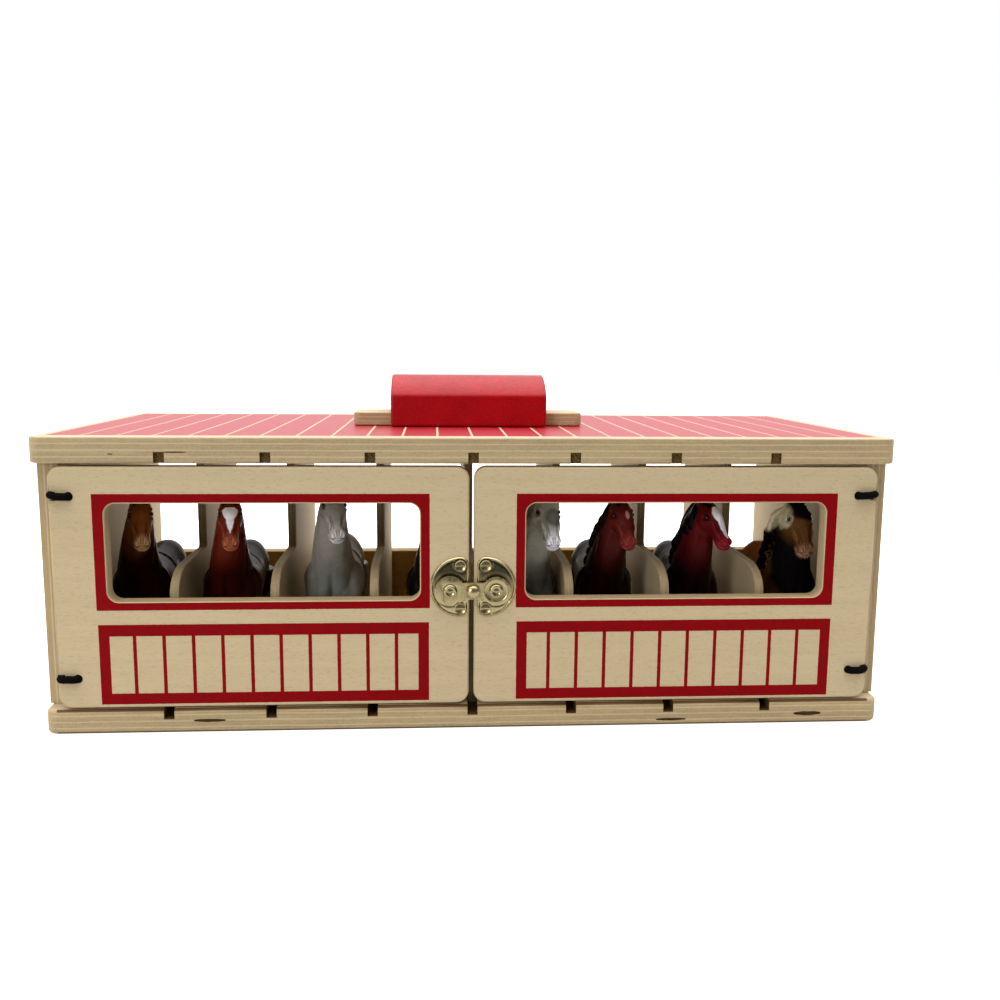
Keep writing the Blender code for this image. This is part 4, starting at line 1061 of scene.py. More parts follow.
def plate_height(x, z):
    """A domed plate with a thin raised rim, a groove inside it, deeper round the nails, and a
    shallow step where the hook's lobe lies."""
    edge = plate_edge(x, z)
    height = 0.22 * MM + 0.40 * MM * smooth_step(edge, -0.1 * MM, 0.55 * MM)
    height += 0.16 * MM * (1 - ((z - PLATE_Z) / PLATE_BOW) ** 2)
    inner = 1 - smooth_step(x, 6.5 * MM, 10.5 * MM)
    height += 0.09 * MM * bell(edge, 0.6 * MM, 0.28 * MM)
    height -= (0.08 + 0.13 * inner) * MM * bell(edge, 1.25 * MM, 0.34 * MM)
    rise = abs(z - PLATE_Z) - NAIL_RISE
    around = math.hypot(x - PLATE_X, rise)
    height -= 0.14 * MM * bell(around, 2.75 * MM, 0.3 * MM)
    reach = math.hypot(x - RIVET_X, z - RIVET_Z)
    height -= 0.12 * MM * (1 - smooth_step(reach, 6.6 * MM, 7.4 * MM))
    return min(height, 0.8 * MM)


def make_latch_plates():
    # Painted reflection: the plate's field darker towards its top, between these heights
    reach = (PLATE_Z - 6 * MM, PLATE_Z + 6 * MM)
    brass = plated_metal("brass_plated_plate", colours().brass, 0.24, 2.5, reach)
    for word, side in (("left", -1), ("right", 1)):
        plate = relief_plate(f"plate_{word}", PLATE_HIGH.y, 120, 44)
        if side < 0:
            for vertex in plate.data.vertices:
                vertex.co.x = -vertex.co.x
            plate.data.flip_normals()
        bm = bmesh.new()
        for x, z, wide, _ in FIXING_HOLES:
            add_prism(bm, circle((side * x, z), wide, 24), "XZ", FRONT_Y - 3 * MM, FRONT_Y + 2 * MM)
        combine(plate, loose_object("plate_holes", bm))
        mesh = plain_mesh(plate)
        # Left bright by the painted reflection: the raised rim and a ring round each nail
        rim = []
        for vertex in mesh.vertices:
            edge = plate_edge(abs(vertex.co.x), vertex.co.z)
            nail = math.hypot(abs(vertex.co.x) - PLATE_X, abs(vertex.co.z - PLATE_Z) - NAIL_RISE)
            rim.append(max(1 - smooth_step(edge, 0.7 * MM, 1.1 * MM), 0.8 * bell(nail, 3.1 * MM, 0.3 * MM)))
        point_values(mesh, "bare", rim)
        shade_curved(mesh, 45)
        finish_piece(plate, f"{word}_door", [brass], [f"latch_plate_{word}"])


def head_profile(shank, length, radius, height, dimple):
    """A rivet's domed head on its shank, with a pressed middle."""
    profile = [(0, 0), (shank, 0), (shank, length), (radius * 0.9, length)]
    steps = 14
    for i in range(steps + 1):
        angle = math.pi / 2 * i / steps
        reach = radius * math.cos(angle)
        rise = height * math.sin(angle)
        rise -= dimple * math.exp(-((reach / (radius * 0.62)) ** 4))
        profile.append((reach if i < steps else 0, length + 0.06 * MM + max(rise, 0.02 * MM)))
    return profile


def cup_profile(shank, length, radius, height):
    """A nail's head pressed hollow inside a rounded rim."""
    profile = [(0, 0), (shank, 0), (shank, length)]
    profile += arc((radius * 0.9, length + height / 2), (radius * 0.1, height / 2), -90, 90, 8)
    hollow = radius * 0.84
    for i in range(11):
        reach = 1 - i / 10
        profile.append((hollow * reach, length + height * (0.12 + 0.75 * reach * reach)))
    return profile


def paint_hollow_reflection(mesh, reach, height):
    """Paints a dark reflection into the upper half of the hollow within a reach of the axis, by marking all
    else as kept bright.
    """
    bare = []
    for vertex in mesh.vertices:
        low = smooth_step(height + 0.25 * MM - vertex.co.z, -0.2 * MM, 0.2 * MM)
        out = smooth_step(math.hypot(abs(vertex.co.x) - abs(reach[0]), vertex.co.z - height), *reach[1:])
        bare.append(max(low, out))
    point_values(mesh, "bare", bare)


def make_latch_fixings():
    # Painted reflection: dark in the upper half of each head's hollow, as marked below
    brass = plated_metal("brass_plated_fixing", colours().brass, 0.26, 1.5, (0, 0.001 * MM))
    for word, side in (("left", -1), ("right", 1)):
        low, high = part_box(f"latch_nail_{word}_bottom")
        bm = bmesh.new()
        profile = cup_profile(0.6 * MM, high.y - low.y - 0.6 * MM, 2.4 * MM, 0.6 * MM)
        add_turned(bm, profile, (0, 0, 0), (0, -1, 0), 32)
        pattern = loose_object("nail_pattern", bm)
        paint_hollow_reflection(pattern.data, (0, 1.8 * MM, 2.1 * MM), 0)
        shade_curved(pattern.data, 50)
        start = (side * PLATE_X, high.y, PLATE_Z - NAIL_RISE)
        nails = grown_row(f"plate_nails_{word}", pattern, 2, start, (0, 0, 2 * NAIL_RISE), brass)
        nodes = [f"latch_nail_{word}_top", f"latch_nail_{word}_bottom"]
        finish_piece(nails, f"{word}_door", [brass], nodes)
        node = "latch_catch_pin" if side < 0 else "latch_pivot_rivet"
        low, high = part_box(node)
        bm = bmesh.new()
        profile = head_profile(1.5 * MM, high.y - low.y - 1.3 * MM, 2.75 * MM, 1.24 * MM, 0.85 * MM)
        add_turned(bm, profile, (side * RIVET_X, high.y, RIVET_Z), (0, -1, 0), 40)
        rivet = loose_object("catch_rivet" if side < 0 else "pivot_rivet", bm)
        paint_hollow_reflection(rivet.data, (RIVET_X, 1.0 * MM, 1.5 * MM), RIVET_Z)
        shade_curved(rivet.data, 50)
        finish_piece(rivet, f"{word}_door", [brass], [node])


def make_hook():
    """The hook: pivot lobe with a raised ring, a rounded bar, and a catch lobe slotted below."""
    pivot = (RIVET_X, RIVET_Z)
    catch = (-RIVET_X, RIVET_Z)
    spread_x = 2 * RIVET_X
    front = HOOK_LOW.y
    back = HOOK_HIGH.y
    hook = prism("hook", circle(pivot, HOOK_PIVOT_LOBE, 64), "XZ", front, back)
    bar = rectangle((catch[0], RIVET_Z - HOOK_BAR), (pivot[0], RIVET_Z + HOOK_BAR))
    combine(hook, prism("hook_bar", bar, "XZ", front, back), "UNION")
    combine(hook, prism("hook_lobe", circle(catch, HOOK_CATCH_LOBE, 64), "XZ", front, back), "UNION")
    inner = (spread_x - HOOK_SLOT, spread_x - HOOK_SLOT)
    outer = (spread_x + HOOK_SLOT, spread_x + HOOK_SLOT)
    sweep = math.degrees(2 * HOOK_CATCH_LOBE / spread_x)
    slot = arc(pivot, inner, 180, 180 + sweep, 12) + arc(pivot, outer, 180 + sweep, 180, 12)
    slot += arc(catch, (HOOK_SLOT, HOOK_SLOT), 180, 0, 24)[1:-1]
    combine(hook, prism("hook_slot", slot, "XZ", front - OVERRUN, FRONT_Y))
    bm = bmesh.new()
    for x, wide in ((pivot[0], RIVET_HOLE), (0, 1.15 * MM)):
        add_prism(bm, circle((x, RIVET_Z), wide, 24), "XZ", front - OVERRUN, FRONT_Y)
    combine(hook, loose_object("hook_holes", bm))
    soften(hook, 0.28 * MM)
    # The pivot lobe is dished round its rivet
    dish = bmesh.new()
    profile = [(0, -0.6 * MM), (4.9 * MM, -0.6 * MM)]
    profile += [(radius, depth - 0.001 * MM) for radius, depth in
                arc((2.6 * MM, 0), (2.3 * MM, 0.55 * MM), 0, 90, 8)]
    profile += [(0, 0.55 * MM)]
    add_turned(dish, profile, (pivot[0], front, RIVET_Z), (0, 1, 0), 64)
    combine(hook, loose_object("hook_dish", dish))
    shade_curved(plain_mesh(hook), 35)
    brass = plated_metal("brass_plated_hook", colours().brass, 0.28, 2.0)
    finish_piece(hook, "latch", [brass], ["latch_hook"])
    low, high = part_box("latch_knob")
    bm = bmesh.new()
    neck = high.y - low.y - 2.9 * MM
    profile = [(0, 0), (0.9 * MM, 0), (0.9 * MM, neck)]
    radius = 2.7 * MM
    for i in range(19):
        angle = math.radians(-48 + 138 * i / 18)
        height = neck + 1.45 * MM + 1.45 * MM * math.sin(angle)
        profile.append((radius * math.cos(angle) if i < 18 else 0, height))
    add_turned(bm, profile, (0, high.y, RIVET_Z), (0, -1, 0), 40)
    knob = loose_object("hook_knob", bm)
    shade_curved(knob.data, 60)
    finish_piece(knob, "latch", [brass], ["latch_knob"])


# Elastic hinge cords

CORD_BENDS = {
    ("left", "top"): (0.15, 0.75),
    ("left", "bottom"): (0.3, 0.2),
    ("right", "top"): (0.3, 0.7),
    ("right", "bottom"): (0.15, 0.75),
}


def cord_route(side, z, bends):
    """From inside the wall round the door's edge, across its face, into its hole, densely."""
    across = CORD_EDGE_X - (CORD_DOOR_X + CORD_OFFSET)
    flat = [(CORD_WALL_X, WALL_LOW.y + 12 * MM), (CORD_WALL_X, WALL_LOW.y + 6 * MM)]
    flat += [(CORD_WALL_X, WALL_LOW.y)]
    flat += [((CORD_WALL_X + CORD_EDGE_X + CORD_OFFSET) / 2, (WALL_LOW.y + FRONT_Y) / 2)]
    flat += arc((CORD_EDGE_X, FRONT_Y), (CORD_OFFSET, CORD_OFFSET), 0, -90, 8)
    flat += [(CORD_EDGE_X - across * i / 12, FRONT_Y - CORD_OFFSET) for i in range(1, 12)]
    flat += arc((CORD_DOOR_X + CORD_OFFSET, FRONT_Y), (CORD_OFFSET, CORD_OFFSET), -90, -180, 8)
    flat += [(CORD_DOOR_X, FRONT_Y + 2.5 * MM), (CORD_DOOR_X, FRONT_Y + 5 * MM)]
    sag, rise_edge = (v * MM for v in bends)
    route = []
    for x, y in flat:
        share = min(max((CORD_EDGE_X + CORD_OFFSET - x) / (across + 2 * CORD_OFFSET), 0), 1)
        lift = sag * math.sin(math.pi * share)
        lift += rise_edge * bell(share, 0.08, 0.16) * (1 if y < WALL_LOW.y else 0)
        route.append(Vector((side * x, y, z + lift)))
    return route


def make_cords():
    """Braided elastic: a tube whose skin bulges in a small diamond weave."""
    material = braided_elastic()
    sides = 20
    for (word, level), bends in CORD_BENDS.items():
        side = -1 if word == "left" else 1
        route = cord_route(side, CORD_HEIGHTS[level], bends)
        dense = []
        for a, b in zip(route, route[1:]):
            count = max(1, round((b - a).length / (0.35 * MM)))
            dense += [a.lerp(b, i / count) for i in range(count)]
        dense.append(route[-1])
        for _ in range(6):
            eased = [(a + b * 2 + c) / 4 for a, b, c in zip(dense, dense[1:], dense[2:])]
            dense = [dense[0], *eased, dense[-1]]
        bm = bmesh.new()
        weave = []
        rings = []
        up = Vector((0, 0, 1))
        run = 0.0
        for i, at in enumerate(dense):
            along = (dense[min(i + 1, len(dense) - 1)] - dense[max(i - 1, 0)]).normalized()
            across = along.cross(up).normalized()
            if i:
                run += (at - dense[i - 1]).length
            ring = []
            for j in range(sides):
                angle = 2 * math.pi * j / sides
                # Painted light and shade: the strands' bulge also lights their tops and darkens the hollows
                strand = math.cos(5 * angle + run / (0.42 * MM)) * math.cos(5 * angle - run / (0.42 * MM))
                reach = CORD_RADIUS * (0.97 + 0.045 * strand)
                ring.append(bm.verts.new(at + (across * math.cos(angle) + up * math.sin(angle)) * reach))
                weave.append(0.5 + 0.5 * strand)
            rings.append(ring)
        skin_rings(bm, rings)
        cord = loose_object(f"cord_{word}_{level}", bm)
        point_values(cord.data, "weave", weave)
        cord.data.shade_smooth()
        cord.data.materials.append(material)
        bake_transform(cord)
        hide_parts(f"hinge_cord_{word}_{level}")


# Horses

WITHERS = 54.0 * MM
CHEST_Y = FRONT_Y + 30.0 * MM
GROUND_Z = BASE_HIGH.z + FIT_GAP
# How far off the stall's middle, size, the head's turn in degrees, the neck's lean, the head's size
HORSES = (
    (-0.008, 1.00, 17.0, 0.070, 1.0),
    (-0.055, 1.00, 9.5, 0.046, 1.0),
    (0.037, 1.05, 14.0, 0.010, 1.0),
    (0.120, 1.00, 5.0, 0.030, 1.0),
    (0.130, 1.01, 9.5, 0.112, 1.05),
    (-0.018, 0.99, 13.0, 0.062, 1.0),
    (-0.050, 0.98, 35.0, 0.022, 1.0),
    (0.050, 0.97, 1.0, -0.050, 1.12),
)
# Stations as shares of the height at the withers: place behind the chest, height, half width,
# half thickness. The same stations as the CAD model's horses.
TORSO = (
    (0.035, 0.71, 0.095, 0.09),
    (0.085, 0.71, 0.188, 0.185),
    (0.21, 0.735, 0.228, 0.245),
    (0.40, 0.735, 0.220, 0.235),
    (0.62, 0.745, 0.200, 0.22),
    (0.83, 0.77, 0.175, 0.205),
    (1.00, 0.775, 0.165, 0.215),
    (1.14, 0.75, 0.130, 0.19),
    (1.23, 0.73, 0.07, 0.11),
)
NECK = (
    (0.22, 0.72, 0.17, 0.20),
    (0.17, 0.90, 0.168, 0.215),
    (0.105, 1.05, 0.146, 0.18),
    (0.06, 1.20, 0.124, 0.145),
    (0.04, 1.33, 0.100, 0.115),
    (0.02, 1.43, 0.075, 0.085),
)
HEAD = (
    (0.03, 1.46, 0.055, 0.055),
    (-0.015, 1.43, 0.085, 0.095),
    (-0.075, 1.365, 0.092, 0.105),
    (-0.135, 1.30, 0.077, 0.083),
    (-0.180, 1.24, 0.065, 0.066),
    (-0.212, 1.19, 0.067, 0.066),
    (-0.232, 1.16, 0.056, 0.055),
    (-0.243, 1.14, 0.034, 0.034),
)
CREST = (
    (0.335, 0.97, 0.02, 0.06),
    (0.29, 1.10, 0.024, 0.06),
    (0.215, 1.25, 0.026, 0.06),
    (0.13, 1.39, 0.026, 0.055),
    (0.05, 1.49, 0.026, 0.04),
    (-0.01, 1.47, 0.02, 0.03),
)
TAIL = (
    (1.17, 0.86, 0.035, 0.04),
    (1.27, 0.83, 0.05, 0.05),
    (1.32, 0.69, 0.06, 0.065),
    (1.335, 0.50, 0.052, 0.06),
    (1.32, 0.34, 0.025, 0.03),
)
# Legs and ears: sideways place, place behind the chest, height, two half widths
FORELEG = (
    (0.115, 0.20, 0.66, 0.085, 0.12),
    (0.118, 0.195, 0.52, 0.068, 0.085),
    (0.112, 0.18, 0.36, 0.045, 0.052),
    (0.110, 0.175, 0.29, 0.045, 0.050),
    (0.108, 0.18, 0.18, 0.030, 0.036),
    (0.108, 0.178, 0.105, 0.040, 0.044),
    (0.108, 0.16, 0.065, 0.040, 0.048),
    (0.108, 0.155, 0.0, 0.055, 0.068),
)
HINDLEG = (
    (0.105, 1.02, 0.72, 0.10, 0.19),
    (0.125, 1.00, 0.56, 0.085, 0.145),
    (0.118, 1.08, 0.44, 0.055, 0.075),
    (0.112, 1.145, 0.36, 0.045, 0.055),
    (0.108, 1.115, 0.26, 0.034, 0.042),
    (0.108, 1.09, 0.18, 0.032, 0.038),
    (0.108, 1.08, 0.105, 0.040, 0.046),
    (0.108, 1.06, 0.065, 0.042, 0.050),
    (0.108, 1.05, 0.0, 0.058, 0.070),
)
EAR = (
    (0.050, 0.02, 1.46, 0.026, 0.026),
    (0.056, 0.015, 1.53, 0.030, 0.022),
    (0.060, 0.005, 1.60, 0.018, 0.013),
    (0.062, 0.0, 1.645, 0.004, 0.004),
)
# Modelled forms, mirrored where x isn't 0: place, radii and height along the skin, as shares
HEAD_FORMS = (
    ((0.088, -0.098, 1.392), (0.030, 0.034, 0.027), -0.014),
    ((0.080, -0.098, 1.424), (0.022, 0.038, 0.013), 0.015),
    ((0.086, -0.112, 1.360), (0.020, 0.034, 0.011), 0.010),
    ((0.070, -0.170, 1.300), (0.016, 0.022, 0.040), 0.007),
    ((0.088, -0.028, 1.322), (0.040, 0.050, 0.052), 0.016),
    ((0.062, -0.130, 1.235), (0.022, 0.030, 0.042), -0.009),
    ((0.048, -0.215, 1.290), (0.014, 0.030, 0.050), -0.006),
    ((0.046, -0.262, 1.205), (0.024, 0.022, 0.024), 0.011),
    ((0.048, -0.280, 1.208), (0.011, 0.014, 0.014), -0.022),
    ((0.0, -0.280, 1.190), (0.010, 0.020, 0.022), -0.007),
    ((0.0, -0.238, 1.138), (0.036, 0.024, 0.015), 0.010),
    ((0.0, -0.165, 1.400), (0.034, 0.030, 0.040), 0.006),
    ((0.0, -0.228, 1.310), (0.026, 0.030, 0.040), -0.005),
    ((0.058, -0.014, 1.550), (0.014, 0.016, 0.045), -0.012),
)
BODY_FORMS = (
    ((0.078, 0.000, 0.700), (0.062, 0.080, 0.080), 0.034),
    ((0.0, 0.010, 0.690), (0.020, 0.080, 0.120), -0.026),
    ((0.0, 0.000, 0.860), (0.026, 0.090, 0.070), -0.010),
    ((0.185, 0.080, 0.660), (0.055, 0.060, 0.060), 0.022),
    ((0.200, 0.230, 0.820), (0.060, 0.032, 0.140), 0.012),
    ((0.190, 0.300, 0.720), (0.060, 0.028, 0.120), -0.012),
    ((0.125, 0.060, 1.000), (0.040, 0.026, 0.150), -0.012),
    ((0.080, -0.020, 1.060), (0.020, 0.060, 0.160), 0.006),
    ((0.170, 0.930, 0.800), (0.060, 0.110, 0.090), 0.014),
    ((0.180, 0.760, 0.700), (0.050, 0.050, 0.120), -0.014),
    ((0.110, 0.140, 0.330), (0.035, 0.020, 0.035), 0.008),
    ((0.108, 0.160, 0.078), (0.080, 0.080, 0.010), -0.005),
    ((0.108, 1.060, 0.078), (0.080, 0.080, 0.010), -0.005),
)
MOUTH = ((0.0, -0.284, 1.174), (0.030, -0.274, 1.169), (0.056, -0.240, 1.166), (0.070, -0.202, 1.184))
EYE = (0.079, -0.098, 1.392)
# Creases seen from the front, mirrored: sideways place and height along each
CREASES = (
    ((0.062, 1.345), (0.052, 1.31), (0.042, 1.27), (0.050, 1.235)),
    ((0.046, 1.335), (0.036, 1.295), (0.028, 1.25)),
    ((0.010, 1.232), (0.009, 1.192)),
    ((0.027, 1.205), (0.024, 1.178)),
    ((0.066, 1.245), (0.064, 1.215), (0.054, 1.185)),
    ((0.0, 1.152), (0.022, 1.153), (0.040, 1.160)),
)
# Manes that stand out wider than the neck
MANE_BULK = {"horse_light_grey": 2.3, "horse_dark_bay": 1.5, "horse_bay": 1.5, "horse_pinto": 2.4}


def between_stations(rows, steps):
    """Rows on a smooth curve through the given ones."""
    table = np.array(rows, float)
    padded = np.vstack([2 * table[0] - table[1], table, 2 * table[-1] - table[-2]])
    result = []
    for i in range(1, len(padded) - 2):
        a, b, c, d = padded[i - 1 : i + 3]
        for k in range(steps):
            t = k / steps
            bend = (2 * a - 5 * b + 4 * c - d) * t * t
            result.append(0.5 * (2 * b + (c - a) * t + bend + (3 * b - a - 3 * c + d) * t**3))
    result.append(table[-1])
    return np.maximum(result, [-9, -9, 0.003, 0.003]) if table.shape[1] == 4 else np.array(result)


def add_body_run(bm, stations, sides=28, lobes=0, depth=0.0, swell=1.0):
    """Oval rings through stations in the horse's middle plane, with lobes for locks of hair,
    swollen about the top of the neck."""
    rows = between_stations(stations, 5)
    top = np.array(NECK[-1][:2] + (0.0, 0.0))
    rows = top + (rows - top) * swell
    rings = []
    for i, (y, z, wide, thick) in enumerate(rows):
        nxt = rows[min(i + 1, len(rows) - 1)]
        last = rows[max(i - 1, 0)]
        along = Vector((0, nxt[0] - last[0], nxt[1] - last[1])).normalized()
        across = along.cross(Vector((1, 0, 0)))
        ring = []
        for j in range(sides):
            angle = 2 * math.pi * j / sides
            lobe = 1 + depth * math.cos(lobes * angle + i * 0.35)
            point = Vector((wide * lobe * math.cos(angle), y, z))
            ring.append(bm.verts.new(point + across * thick * lobe * math.sin(angle)))
        rings.append(ring)
    skin_rings(bm, rings)


def add_limb_run(bm, stations, side, sides=24):
    rings = []
    for x, y, z, wide, deep in between_stations(stations, 5):
        ring = []
        for j in range(sides):
            angle = 2 * math.pi * j / sides
            ring.append(bm.verts.new((side * x + wide * math.cos(angle), y + deep * math.sin(angle), z)))
        rings.append(ring)
    skin_rings(bm, rings)


def add_lock(bm, path, radii, sides=10):
    """A tapering lock of hair along a few points."""
    rows = between_stations([(*p, r) for p, r in zip(path, radii)], 4)
    rings = []
    for i, row in enumerate(rows):
        along = Vector(rows[min(i + 1, len(rows) - 1)][:3]) - Vector(rows[max(i - 1, 0)][:3])
        across = along.cross(Vector((0.2, 1, 0.1))).normalized()
        other = along.cross(across).normalized()
        ring = []
        for j in range(sides):
            angle = 2 * math.pi * j / sides
            offset = across * math.cos(angle) + other * math.sin(angle)
            ring.append(bm.verts.new(Vector(row[:3]) + offset * max(row[3], 0.003)))
        rings.append(ring)
    skin_rings(bm, rings)


def add_mane(bm, pick, bulk=1.0):
    """Crest, locks down the near side of the neck, and a forelock."""
    add_body_run(bm, CREST, 20)
    crest = between_stations(CREST[:-1], 5)
    count = 15
    for k in range(count):
        y, z, _, _ = crest[round(k / (count - 1) * (len(crest) - 1))]
        drop = 0.17 + pick.uniform(-0.03, 0.03)
        reach = (0.065 + 0.035 * (1 - k / count)) * bulk + pick.uniform(-0.008, 0.008)
        path = (
            (0.0, y - 0.01, z + 0.01),
            (-0.045, y - 0.01, z - 0.02),
            (-reach, y - 0.025, z - drop * 0.55),
            (-reach - 0.012, y - 0.02 - pick.uniform(0, 0.03), z - drop),
        )
        add_lock(bm, path, (0.016, 0.022, 0.021, 0.005))
    for k in (-1, 0, 1):
        path = (
            (k * 0.014, 0.0, 1.485),
            (k * 0.022, -0.055, 1.475),
            (k * 0.026, -0.105, 1.425),
            (k * 0.02, -0.135, 1.375 + 0.012 * k),
        )
        add_lock(bm, path, (0.018, 0.020, 0.014, 0.004))


def swollen(points, head):
    """Moves a head's points to where they lie on a larger or smaller head."""
    top = np.array((0.0, *NECK[-1][:2]))
    return top + (np.asarray(points, float) - top) * head


def head_pose(points, turn, lean):
    """Turns the neck's and head's points about the upright line through the poll and leans them,
    by more the nearer they are to the head."""
    heights = (0.72, 0.90, 1.05, 1.20, 1.33, 1.43)
    shares = (0.0, 0.10, 0.35, 0.65, 0.9, 1.0)
    share = np.interp(points[:, 2], heights, shares)
    ahead = np.clip((-0.05 - points[:, 1]) / 0.05, 0, 1)
    ahead *= np.clip((points[:, 2] - 0.96) / 0.05, 0, 1)
    ahead = ahead * ahead * (3 - 2 * ahead)
    share = share + (1 - share) * ahead
    share[points[:, 1] > 0.6] = 0
    angle = math.radians(turn) * share
    y = points[:, 1] - NECK[-1][0]
    turned = points.copy()
    turned[:, 0] = points[:, 0] * np.cos(angle) - y * np.sin(angle) + lean * share
    turned[:, 1] = points[:, 0] * np.sin(angle) + y * np.cos(angle) + NECK[-1][0]
    return turned


def gauss(points, centre, radii):
    return np.exp(-(((points - np.array(centre)) / np.array(radii)) ** 2).sum(1))


def near_line(points, path):
    """Distance of each point from a line of points."""
    best = np.full(len(points), 9.0)
    for a, b in zip(path, path[1:]):
        a = np.array(a)
        span = np.array(b) - a
        t = np.clip((points - a) @ span / (span @ span), 0, 1)
        best = np.minimum(best, np.linalg.norm(points - a - t[:, None] * span, axis=1))
    return best


def point_array(mesh, name, size=3):
    values = np.zeros(len(mesh.vertices) * size, np.float64)
    mesh.vertices.foreach_get(name, values)
    return values.reshape(-1, size)


def grown_skin(name, bm, step):
    """Grows overlapping runs together into one closed skin, lightly smoothed."""
    body = loose_object(name, bm)
    skin = body.modifiers.new("skin", "REMESH")
    skin.mode = "VOXEL"
    skin.voxel_size = step
    smooth = body.modifiers.new("smooth", "SMOOTH")
    smooth.factor = 0.5
    smooth.iterations = 3
    plain_mesh(body)
    return body


def hair_share(points, pick, bulk):
    """How far each point belongs to the mane or the tail, from fresh copies of both."""
    bm = bmesh.new()
    add_mane(bm, pick, bulk)
    add_body_run(bm, TAIL, 24, 7, 0.09)
    tree = kdtree.KDTree(len(bm.verts))
    for i, vertex in enumerate(bm.verts):
        tree.insert(vertex.co, i)
    tree.balance()
    bm.free()
    rough = (points[:, 1] > 0.9) | ((points[:, 2] > 0.75) & (points[:, 0] < 0.07))
    share = np.zeros(len(points))
    for i in np.nonzero(rough)[0]:
        _, _, distance = tree.find(points[i])
        share[i] = distance < (0.027 if points[i, 1] > 1.15 else 0.017)
    return share


# Coats: base, mane and tail, hooves, then patches of colour, place, radii and softness, of which
# the dark ones marked over necks and chests are painted shade, then the white marking down the face as rows
# of height and half width
WHITE = "f3f1f6"
COATS = {
    "horse_brown": (
        "7c451f", "1c0f08", "2a1a12",
        (
            # Painted shade: dark over the neck, chest and fore body
            ("260704", (0, 0.16, 0.85), (0.40, 0.30, 0.47), 0.18),
            ("a37a52", (0, -0.25, 1.17), (0.11, 0.11, 0.090), 0.22),
            ("5a3018", (0.11, -0.07, 1.34), (0.05, 0.10, 0.12), 0.5),
            ("33180e", (0, 0.75, 0.80), (0.40, 0.45, 0.40), 0.2),
        ),
        (),
    ),
    "horse_chestnut": (
        "6c2815", "300f08", "3a2418",
        (
            # Painted shade: the neck and, darker, the chest
            ("511207", (0, 0.14, 1.02), (0.40, 0.24, 0.28), 0.35),
            ("310806", (0, 0.12, 0.74), (0.40, 0.32, 0.27), 0.25),
            ("9e523a", (0, -0.25, 1.17), (0.11, 0.11, 0.095), 0.30),
            ("2c0e09", (0, 0.75, 0.80), (0.40, 0.45, 0.40), 0.2),
        ),
        ((1.452, 0.034), (1.435, 0.054), (1.405, 0.054), (1.37, 0.034), (1.32, 0.020), (1.27, 0.005)),
    ),
    "horse_grey": (
        "8b867e", "5f5c57", "4a4846",
        (
            ("7c8078", (-0.05, 0.02, 0.74), (0.18, 0.25, 0.16), 0.5),
            ("b9b4b0", (0, -0.27, 1.19), (0.10, 0.11, 0.090), 0.30),
        ),
        (),
    ),
    "horse_black": ("16110f", "0b0a0a", "1a1817", (), ()),
    "horse_light_grey": (
        "c3c5bb", "8f8d84", "4a4846",
        (
            ("77756c", (0.02, -0.16, 1.36), (0.070, 0.09, 0.070), 0.18),
            ("ecebf2", (0, -0.26, 1.18), (0.12, 0.12, 0.10), 0.20),
            # Painted shade: the chest darker
            ("6f7067", (0, 0.10, 0.72), (0.40, 0.30, 0.24), 0.45),
        ),
        (),
    ),
    "horse_dark_bay": (
        "5b1b16", "120605", "241512",
        (
            # Painted shade: the neck and, darker, the chest
            ("310a09", (0, 0.12, 1.16), (0.40, 0.16, 0.27), 0.35),
            ("160303", (0, 0.16, 0.84), (0.40, 0.30, 0.32), 0.35),
            ("82322c", (0, -0.26, 1.18), (0.11, 0.11, 0.095), 0.35),
            ("b3877f", (0.006, -0.16, 1.405), (0.017, 0.10, 0.030), 0.25),
            ("2b1210", (0, 0.75, 0.80), (0.40, 0.45, 0.40), 0.2),
        ),
        (),
    ),
    "horse_bay": (
        "580f11", "0a0506", "241512",
        (
            # Painted shade: the neck and, darker, the chest
            ("4c090e", (0, 0.12, 1.18), (0.40, 0.16, 0.24), 0.35),
            ("150307", (0, 0.16, 0.80), (0.40, 0.30, 0.33), 0.35),
            ("882129", (0, -0.27, 1.18), (0.11, 0.11, 0.085), 0.35),
            ("2b1210", (0, 0.75, 0.80), (0.40, 0.45, 0.40), 0.2),
        ),
        (
            (1.475, 0.030), (1.44, 0.052), (1.40, 0.054), (1.35, 0.036), (1.29, 0.026), (1.245, 0.014),
            (1.235, 0.004),
        ),
    ),
    "horse_pinto": (
        "63401f", "0d0a0a", "1d1713",
        (
            ("d8cdac", (-0.20, 0.02, 1.42), (0.155, 0.26, 0.15), 0.12),
            ("0e0a0a", (0.02, 0.07, 0.98), (0.26, 0.20, 0.34), 0.15),
            ("97705a", (0, -0.27, 1.15), (0.10, 0.10, 0.06), 0.6),
            ("0f0b0b", (0.03, -0.08, 1.46), (0.12, 0.14, 0.085), 0.12),
            ("0f0b0b", (0.13, -0.08, 1.32), (0.07, 0.17, 0.16), 0.15),
            ("a5713d", (-0.05, 0.75, 0.86), (0.40, 0.50, 0.34), 0.3),
        ),
        (),
    ),
}


def mixed(colour, code, share):
    """Colours moved towards an sRGB hex colour by a share for each point."""
    return colour + (np.array(linear_colour(code)) - colour) * share[:, None]


def patch_share(points, patch, head):
    """How far each point lies in a patch of colour; patches on the head grow with it."""
    _, centre, radii, soft = patch
    on_head = centre[2] > 1.1
    centre = swollen(centre, head) if on_head else np.array(centre)
    reach = np.sqrt((((points - centre) / (np.array(radii) * (head if on_head else 1.0))) ** 2).sum(1))
    return np.clip((1 + soft - reach) / (2 * soft), 0, 1)


